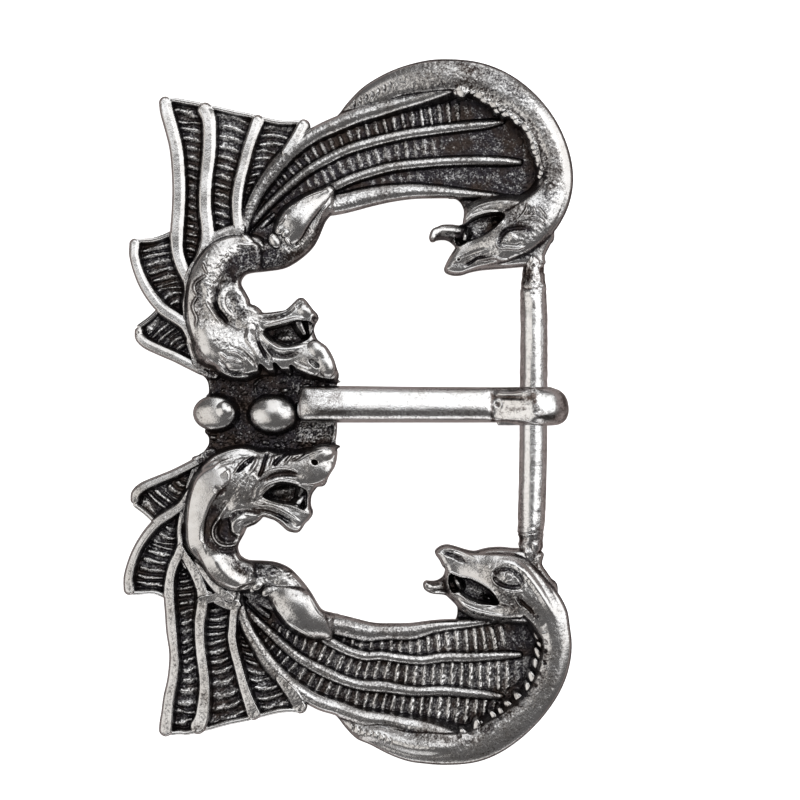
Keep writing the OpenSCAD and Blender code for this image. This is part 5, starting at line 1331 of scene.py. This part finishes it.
# The tongue's outline from the side, from the tip over the top and the loop and back below:
# place x, z, crown, flatness across, lower and upper edge in y
TONGUE = [
    (-7.05, 3.4, 1.0, 0.0, -1.4, 3.6), (-7.2, 4.0, 1.2, 0.0, -1.42, 3.6),
    (-7.1, 4.7, 1.2, 0.0, -1.42, 3.62), (-6.6, 5.3, 1.3, 0.0, -1.42, 3.64),
    (-5.6, 5.68, 1.6, 0.0, -1.45, 3.65), (-3.5, 5.86, 1.85, 0.0, -1.48, 3.66),
    (0.0, 5.92, 1.9, 0.0, -1.5, 3.66), (9.0, 5.92, 1.9, 0.0, -1.5, 3.55),
    (17.0, 5.92, 1.9, 0.0, -1.5, 3.5), (19.2, 5.88, 1.8, 0.0, -1.48, 3.5),
    (19.8, 5.78, 1.65, 0.1, -1.45, 3.48), (20.2, 5.62, 1.4, 0.4, -1.42, 3.46),
    (20.6, 5.62, 1.2, 0.8, -1.4, 3.46), (21.4, 5.85, 1.0, 1.0, -1.38, 3.48),
    (23.0, 6.5, 0.85, 1.0, -1.48, 3.5), (24.3, 7.12, 0.85, 1.0, -1.6, 3.5),
    (25.3, 7.52, 0.95, 0.7, -1.72, 3.5), (26.0, 7.66, 1.1, 0.3, -1.8, 3.5),
    (27.0, 7.6, 1.3, 0.1, -1.88, 3.5), (28.0, 7.35, 1.45, 0.0, -1.9, 3.5),
    (29.0, 6.83, 1.5, 0.0, -1.9, 3.5), (29.9, 6.0, 1.5, 0.0, -1.86, 3.3),
    (30.6, 4.9, 1.5, 0.0, -1.75, 3.05), (30.86, 3.9, 1.5, 0.0, -1.7, 2.95),
    (30.65, 2.8, 1.4, 0.0, -1.75, 3.05), (29.9, 1.8, 1.2, 0.0, -1.86, 3.25),
    (28.8, 1.0, 0.9, 0.0, -1.9, 3.3), (27.4, 0.68, 0.5, 0.0, -1.9, 3.2),
    (24.0, 0.62, 0.35, 0.0, -1.9, 3.2), (21.2, 0.62, 0.35, 0.0, -1.9, 3.2),
    (20.75, 0.8, 0.4, 0.0, -1.86, 3.2), (20.65, 1.2, 0.4, 0.0, -1.84, 3.2),
    (20.75, 1.6, 0.4, 0.0, -1.86, 3.2), (21.2, 1.82, 0.35, 0.0, -1.9, 3.2),
    (23.4, 1.85, 0.3, 0.0, -1.9, 3.2), (23.85, 2.1, 0.25, 0.0, -1.8, 3.3),
    (23.85, 2.5, 0.25, 0.0, -1.6, 3.4), (23.4, 2.75, 0.3, 0.0, -1.5, 3.48),
    (18.0, 2.75, 0.35, 0.0, -1.5, 3.5), (9.0, 2.75, 0.35, 0.0, -1.5, 3.55),
    (0.0, 2.75, 0.35, 0.0, -1.5, 3.6), (-5.0, 2.78, 0.4, 0.0, -1.48, 3.6),
    (-6.5, 2.95, 0.7, 0.0, -1.42, 3.6),
]
# The round hole of the loop: x, z and radius, its points, and where its rims lie in y
LOOP_HOLE = (25.8, 4.3, 2.15)
HOLE_POINTS = 72
HOLE_RIMS = (-1.78, 3.46)
HOLE_TONE = 0.6


def tongue_marks(f):
    """Dents, tarnish, painted shade and painted highlights on top of the tongue."""
    f.h[:] = 0
    ring = [(20.8 + 0.55 * math.cos(a), 1.07 + 0.55 * math.sin(a)) for a in np.linspace(0.8, 6.6, 10)]
    f.spot(20.8, 1.07, 0.72, 0.72, 0, 0.2)
    f.spot(20.85, 1.07, 0.5, 0.5, 0, -0.45)
    f.line(0.22, 0.16, *ring, taper=0.05)
    f.line(0.3, 0.28, (20.6, 2.7), (21.6, 2.5), (23.0, 2.5), (24.3, 2.7), (25.0, 2.95))
    f.line(0.35, -0.3, (20.6, 2.1), (22.0, 2.1), (23.6, 2.0), (25.0, 1.9))
    f.line(0.3, -0.12, (22.4, 0.5), (23.6, 0.5), (25.2, 0.6))
    f.line(0.22, 0.14, (21.0, -0.95), (23.0, -1.0), (24.4, -1.15), (25.6, -1.5), (26.6, -1.68), (27.8, -1.75))
    f.spot(26.5, -0.6, 1.1, 0.8, 0, 0.14)
    f.spot(25.1, 1.5, 0.9, 0.6, 0, -0.12)
    f.spot(22.4, 0.9, 0.5, 0.4, 30, -0.06)
    f.spot(21.6, -0.3, 0.6, 0.4, -20, -0.05)
    f.spot(24.6, -0.5, 0.7, 0.4, 10, -0.05)
    f.paint_tarnish_and_light(0.5, 0.6, (19.95, 3.0), (20.1, 2.0), (20.1, 0.6), (20.05, -0.6), (20.2, -1.2))
    f.paint_tarnish_and_light(0.75, 0.5, (20.8, 1.07), (20.9, 1.07))
    f.paint_tarnish_and_light(0.24, -0.7, *ring)
    f.paint_tarnish_and_light(0.6, 0.6, (20.4, 2.1), (22.0, 2.1), (23.6, 2.0), (25.0, 1.9), (25.6, 2.2))
    f.paint_tarnish_and_light(0.5, 0.4, (20.3, 3.3), (23.0, 3.2), (25.4, 3.2))
    # Painted highlight: a light streak along the raised line.
    f.paint_tarnish_and_light(0.35, -0.5, (21.2, 2.55), (22.6, 2.5), (24.4, 2.72))
    f.paint_tarnish_and_light(0.4, 0.35, (22.2, 0.5), (23.6, 0.45), (25.3, 0.5))
    f.paint_tarnish_and_light(0.5, 0.35, (20.2, -1.35), (22.0, -1.3), (24.0, -1.5), (25.6, -1.85))
    # Painted shade round the loop's highlight: darker bands on its left, its right end and below, and a ring
    # round it.
    f.paint_tarnish_and_light(0.9, 0.1, (25.5, 2.9), (25.8, 1.6), (25.9, 0.2))
    f.paint_tarnish_and_light_area([(25.4, 3.6), (25.4, 0.6), (26.2, 0.6), (26.6, 2.0), (27.6, 3.0), (29.0, 3.2), (29.0, 3.6)],
                 0.35, 0.8)
    f.paint_tarnish_and_light_area([(26.0, -0.1), (28.0, -0.1), (29.6, -0.4), (30.2, -1.0), (30.0, -2.0), (26.0, -2.0)], 0.35,
                 0.8)
    f.paint_tarnish_and_light(0.9, 0.4, (30.2, 2.6), (30.7, 1.2), (30.8, 0.0), (30.3, -1.4))
    f.paint_tarnish_and_light(1.9, 0.3, (-6.6, 0.2), (-4.0, 0.2), (-1.0, 0.0))
    f.paint_tarnish_and_light(1.4, 0.45, (-6.4, 2.3), (-4.0, 2.3), (-1.6, 2.0))
    f.paint_tarnish_and_light(0.8, 0.4, (25.6, 2.8), (25.9, 1.6), (26.2, 0.3), (27.3, -0.6), (28.6, -0.6), (29.7, 0.2),
            (30.0, 1.5), (29.4, 3.0), (28.0, 3.4), (26.6, 3.3))
    f.paint_tarnish_and_light(1.0, 0.2, (30.4, 3.0), (30.8, 1.0), (30.6, -1.0))
    f.paint_tarnish_and_light(1.1, 0.25, (-4.0, 0.0), (6.0, -0.1), (19.0, -0.1))
    f.paint_tarnish_and_light(0.35, -0.35, (-7.0, 2.6), (-7.2, 1.2), (-6.9, 0.0), (-6.2, -0.8))


def worn_tongue():
    """The tongue: a round backed tapering bar whose flattened end is looped round the strap bar."""
    line = inner_curve([TONGUE[-1]] + TONGUE + TONGUE[:2], 10)
    closed = np.vstack([line, line[:1]])
    arcs = arc_lengths(closed)
    spacing = 0.13
    at = np.linspace(0, arcs[-1], int(arcs[-1] / spacing), endpoint=False)
    line = np.column_stack([np.interp(at, arcs, closed[:, k]) for k in range(6)])
    ahead, behind = np.roll(line, -2, 0), np.roll(line, 2, 0)
    d = ahead[:, :2] - behind[:, :2]
    d /= np.hypot(*d.T)[:, None]
    out_x, out_z = -d[:, 1], d[:, 0]
    turn = np.radians(np.linspace(-90, 90, 41))
    x0, z0, crown, flat, y_low, y_high = (line[:, k][:, None] for k in range(6))
    fall = 1 - np.cos(turn)[None]
    fall = crown * fall * (1 - flat * (1 - fall))
    x = x0 - out_x[:, None] * fall
    z = z0 - out_z[:, None] * fall
    ridge = 0.3
    y = ridge + np.where(turn < 0, ridge - y_low, y_high - ridge) * np.sin(turn)[None]
    f = Field(x.ravel(), y.ravel())
    tongue_marks(f)
    up = smoothstep((out_z[:, None] - 0.15) / 0.4) * np.cos(turn)[None] ** 0.3
    marks, tone = f.h.reshape(x.shape), f.t.reshape(x.shape)
    uneven = 0.02 * value_noise(x, y, 2.2, 211) + 0.008 * value_noise(x, y, 0.7, 212)
    uneven += flat * (0.02 * value_noise(x, y, 0.9, 215) + 0.008 * value_noise(x, y, 0.4, 216))
    uneven += 0.022 * smoothstep((x - 25.0) / 1.0) * value_noise(x, y, 0.3, 217)
    z = z + up * (marks + uneven)
    mottled = 0.16 * value_noise(x, y, 0.9, 213) + 0.2 * value_noise(x, y, 0.33, 214) + 0.1
    # Painted shade: the sides and underside, where up falls to 0, and the rounded-off edges are made darker.
    rounded_edge_shade = np.abs(np.sin(turn)[None]) > 0.93
    tone = 0.22 + up * flat * mottled + up * tone + 0.25 * (1 - up) + 0.12 * rounded_edge_shade
    n = len(x)
    verts = np.column_stack([(x + CENTRE[0]).ravel(), y.ravel(), z.ravel()])
    rings = np.arange(x.size).reshape(x.shape).T
    holes = x.size + np.arange(2 * HOLE_POINTS).reshape(2, HOLE_POINTS)
    faces = [f for low, high in zip(rings, rings[1:]) for f in ring_faces(low, high)]
    hx, hz, hr = LOOP_HOLE
    angle = np.linspace(0, 2 * math.pi, HOLE_POINTS, endpoint=False)
    hole = np.column_stack([hx + hr * np.cos(angle), hz + hr * np.sin(angle)])
    edges = [(i, (i + 1) % n) for i in range(n)]
    edges += [(n + i, n + (i + 1) % HOLE_POINTS) for i in range(HOLE_POINTS)]
    for k, side in ((0, 1), (-1, -1)):
        rim_y = np.full(HOLE_POINTS, HOLE_RIMS[k])
        verts = np.vstack([verts, np.column_stack([hole[:, 0] + CENTRE[0], rim_y, hole[:, 1]])])
        outer = np.column_stack([x[:, k], z[:, k]])
        flat_points, triangles, origin = flat_mesh(np.vstack([outer, hole]), edges, 0)
        mid = np.array([np.mean([flat_points[v] for v in t], axis=0) for t in triangles])
        inside = inside_distance(outer, mid[:, 0], mid[:, 1]) > 0
        inside &= np.hypot(mid[:, 0] - hx, mid[:, 1] - hz) > hr * 0.999
        ids = np.concatenate([rings[k], holes[k]])
        faces += [[int(ids[origin[v][0]]) for v in t][::side] for t, keep in zip(triangles, inside) if keep]
    low, high = holes
    faces += np.column_stack([low, high, np.roll(high, -1), np.roll(low, -1)]).tolist()
    tone = np.concatenate([tone.ravel(), np.full(holes.size, HOLE_TONE)])
    return smooth_piece("tongue_worn", verts, faces, tone, "tongue", "tongue")


def new_material(name):
    """An empty material, the short calls for its nodes, and the object's own coordinates in it."""
    mat = bpy.data.materials.new(name)
    mat.use_nodes = True
    mat.node_tree.nodes.clear()
    w = Wires(mat.node_tree)
    return mat, w, w.node("ShaderNodeTexCoord").outputs["Object"]


class Wires:
    """Short calls for building a node tree."""

    def __init__(self, tree):
        self.tree = tree

    def node(self, kind, **values):
        n = self.tree.nodes.new(kind)
        for key, value in values.items():
            setattr(n, key, value)
        return n

    def link(self, a, b):
        self.tree.links.new(a, b)

    def put(self, socket, value):
        if hasattr(value, "is_output"):
            self.link(value, socket)
        else:
            socket.default_value = value

    def fill(self, node, **values):
        """Sets or links a node's inputs by name, with _ for each space."""
        for name, value in values.items():
            self.put(node.inputs[name.replace("_", " ")], value)

    def math(self, op, a, b):
        n = self.node("ShaderNodeMath", operation=op)
        self.put(n.inputs[0], a)
        self.put(n.inputs[1], b)
        return n.outputs[0]

    def total(self, *parts):
        """Sum of values, each times its weight."""
        parts = [self.math("MULTIPLY", value, weight) for value, weight in parts]
        whole = parts[0]
        for part in parts[1:]:
            whole = self.math("ADD", whole, part)
        return whole

    def varied(self, value, *noises):
        """A value moved up and down by noises, each with its weight."""
        for noise, weight in noises:
            value = self.math("ADD", value, self.math("MULTIPLY", self.math("SUBTRACT", noise, 0.5), weight))
        return value

    def span(self, value, a, b, c, d):
        """The value's range from a to b stretched to run from c to d, and held there beyond."""
        n = self.node("ShaderNodeMapRange", clamp=True)
        for socket, v in zip(n.inputs[:5], (value, a, b, c, d)):
            self.put(socket, v)
        return n.outputs[0]

    def mix(self, t, a, b):
        """Colour between a, where t is 0, and b, where t is 1."""
        n = self.node("ShaderNodeMix", data_type="RGBA")
        self.put(n.inputs[0], t)
        self.put(n.inputs[6], a)
        self.put(n.inputs[7], b)
        return n.outputs[2]

    def noise(self, where, scale, detail, rough=0.6):
        n = self.node("ShaderNodeTexNoise", noise_type="FBM")
        self.fill(n, Vector=where, Scale=scale, Detail=detail, Roughness=rough)
        return n.outputs["Fac"]

    def patina_and_painted_light(self):
        """The tarnish, painted shade and painted highlights that the mesh's points carry."""
        return self.node("ShaderNodeAttribute", attribute_name="patina_and_painted_light").outputs["Fac"]

    def surface(self, **values):
        """The material's surface and output."""
        bsdf = self.node("ShaderNodeBsdfPrincipled")
        self.fill(bsdf, **values)
        self.link(bsdf.outputs[0], self.node("ShaderNodeOutputMaterial").inputs[0])

    def metal(self, colour, rough, relief, depth):
        """A metal surface with a fine relief of the given depth in metres."""
        bump = self.node("ShaderNodeBump")
        self.fill(bump, Strength=1.0, Distance=depth, Height=relief)
        self.surface(Base_Color=colour, Metallic=1.0, Roughness=rough, Normal=bump.outputs["Normal"])


def grey(v, warm=0.0):
    """A grey of the given value, moved a little towards red."""
    return (v * (1 + warm), v, v * (1 - warm), 1)


def cast_silver():
    """Blackened silver: bright worn heights, dark patina in the hollows, the painted shade and highlights its
    points carry, cast grain and fine dents.
    """
    mat, w, where = new_material("blackened_silver_cast")
    blotch = w.noise(where, 260, 5)
    grain = w.noise(where, 1500, 6, 0.65)
    fine = w.noise(where, 4200, 3)
    dark = w.span(w.varied(w.patina_and_painted_light(), (blotch, 0.7), (grain, 1.0), (fine, 1.6)), 0.25, 0.85, 0.0, 1.0)
    clean = w.mix(w.span(blotch, 0.35, 0.7, 0.0, 1.0), grey(0.64, 0.005), grey(0.5, 0.035))
    brown = w.mix(w.span(blotch, 0.45, 0.62, 0.0, 1.0), (0.032, 0.029, 0.034, 1), (0.048, 0.036, 0.031, 1))
    rough = w.span(w.total((dark, 0.6), (grain, 0.4)), 0.1, 0.9, 0.16, 0.48)
    w.metal(w.mix(dark, clean, brown), rough, w.total((grain, 0.7), (fine, 0.22), (blotch, 1.2)), 0.00004)
    return mat


def bright_silver():
    """Tumbled silver of the bar and the tongue: bright, with soft dents and fine scratches, darkened where
    its points carry tarnish and painted shade.
    """
    mat, w, where = new_material("bright_silver_worn")
    blotch = w.noise(where, 210, 4)
    grain = w.noise(where, 1800, 5, 0.65)
    fine = w.noise(where, 5200, 3)
    stretch = w.node("ShaderNodeMapping")
    w.fill(stretch, Vector=where, Scale=(0.15, 1.0, 1.0))
    streak = w.noise(stretch.outputs[0], 4200, 3)
    dark = w.span(w.varied(w.patina_and_painted_light(), (grain, 0.9), (blotch, 0.4), (fine, 1.3)), 0.32, 0.95, 0.0, 1.0)
    clean = w.mix(w.span(blotch, 0.35, 0.7, 0.0, 1.0), grey(0.74), grey(0.66, 0.02))
    rough = w.span(grain, 0.3, 0.7, 0.12, 0.24)
    relief = w.total((grain, 1.1), (streak, 0.25), (fine, 1.1), (blotch, 2.0))
    w.metal(w.mix(dark, clean, (0.07, 0.052, 0.045, 1)), rough, relief, 0.00002)
    return mat


def pale_floor():
    """A pale matt floor just under the buckle, which glows a little and shows in no reflection."""
    mat, w, where = new_material("pale_floor")
    w.surface(Base_Color=w.mix(w.noise(where, 12, 3, 0.55), grey(0.9), grey(0.93)), Roughness=0.9,
              Specular_IOR_Level=0.0, Emission_Color=(1, 1, 1, 1), Emission_Strength=0.9)
    mesh = bpy.data.meshes.new("floor")
    r, z = 1.2, -0.00002
    mesh.from_pydata([(-r, -r, z), (r, -r, z), (r, r, z), (-r, r, z)], [], [(0, 1, 2, 3)])
    mesh.materials.append(mat)
    floor = placed("floor", mesh)
    floor.visible_glossy = False


# The lamps stand LAMP_REACH away from MIDDLE and point at it, in metres
MIDDLE = Vector((0.0073, 0.0017, 0.004))
LAMP_REACH = 0.6


def window(name, side, angle, size, radiance, tint=(1.0, 1.0, 1.0)):
    """A soft box: the side it stands on, and its angle from straight up in degrees."""
    a = math.radians(angle)
    lamp = bpy.data.lights.new(name, "AREA")
    lamp.shape = "RECTANGLE"
    lamp.size, lamp.size_y = size
    lamp.energy = radiance * math.pi * size[0] * size[1]
    lamp.color = tint
    obj = placed(name, lamp)
    obj.location = MIDDLE + LAMP_REACH * Vector((side[0] * math.sin(a), side[1] * math.sin(a), math.cos(a)))
    obj.rotation_euler = (MIDDLE - obj.location).to_track_quat("-Z", "Y").to_euler()
    obj.visible_camera = False


def studio():
    """A dim room: dark straight above, where the camera stands, and pale mauve low down and below."""
    world = bpy.data.worlds.new("studio")
    world.use_nodes = True
    w = Wires(world.node_tree)
    split = w.node("ShaderNodeSeparateXYZ")
    w.link(w.node("ShaderNodeTexCoord").outputs["Generated"], split.inputs[0])
    colour = w.mix(w.span(split.outputs[2], 0.0, 0.35, 0.0, 1.0), (0.34, 0.29, 0.28, 1),
                   (0.15, 0.145, 0.145, 1))
    w.put(world.node_tree.nodes["Background"].inputs[0], colour)
    bpy.context.scene.world = world


silver = cast_silver()
for piece in cast_frame():
    piece.data.materials.append(silver)
bright = bright_silver()
for piece in (worn_bar(), worn_tongue()):
    piece.data.materials.append(bright)
pale_floor()

window("box_left", (-0.97, -0.24), 46.0, (0.56, 0.55), 1.05, (1.0, 0.97, 0.93))
window("box_right", (0.95, 0.31), 42.0, (0.5, 0.6), 1.6)
window("box_above", (0, 1), 38.0, (0.42, 0.72), 1.45, (0.98, 0.99, 1.0))
window("strip_above", (0, 1), 82.0, (0.7, 0.04), 1.0)
window("strip_below", (0, -1), 74.5, (0.7, 0.2), 1.3)
studio()

# The camera looks straight down at a field as wide as VIEW_WIDTH
VIEW_WIDTH = 0.112
camera = bpy.data.cameras.new("camera")
camera.lens = 160
camera.sensor_width = 36
camera.clip_start = 0.01
view = placed("camera", camera)
view.location = (0.00728, 0.00168, 0.004 + VIEW_WIDTH * camera.lens / camera.sensor_width)
bpy.context.scene.camera = view
bpy.context.scene.view_settings.view_transform = "Standard"
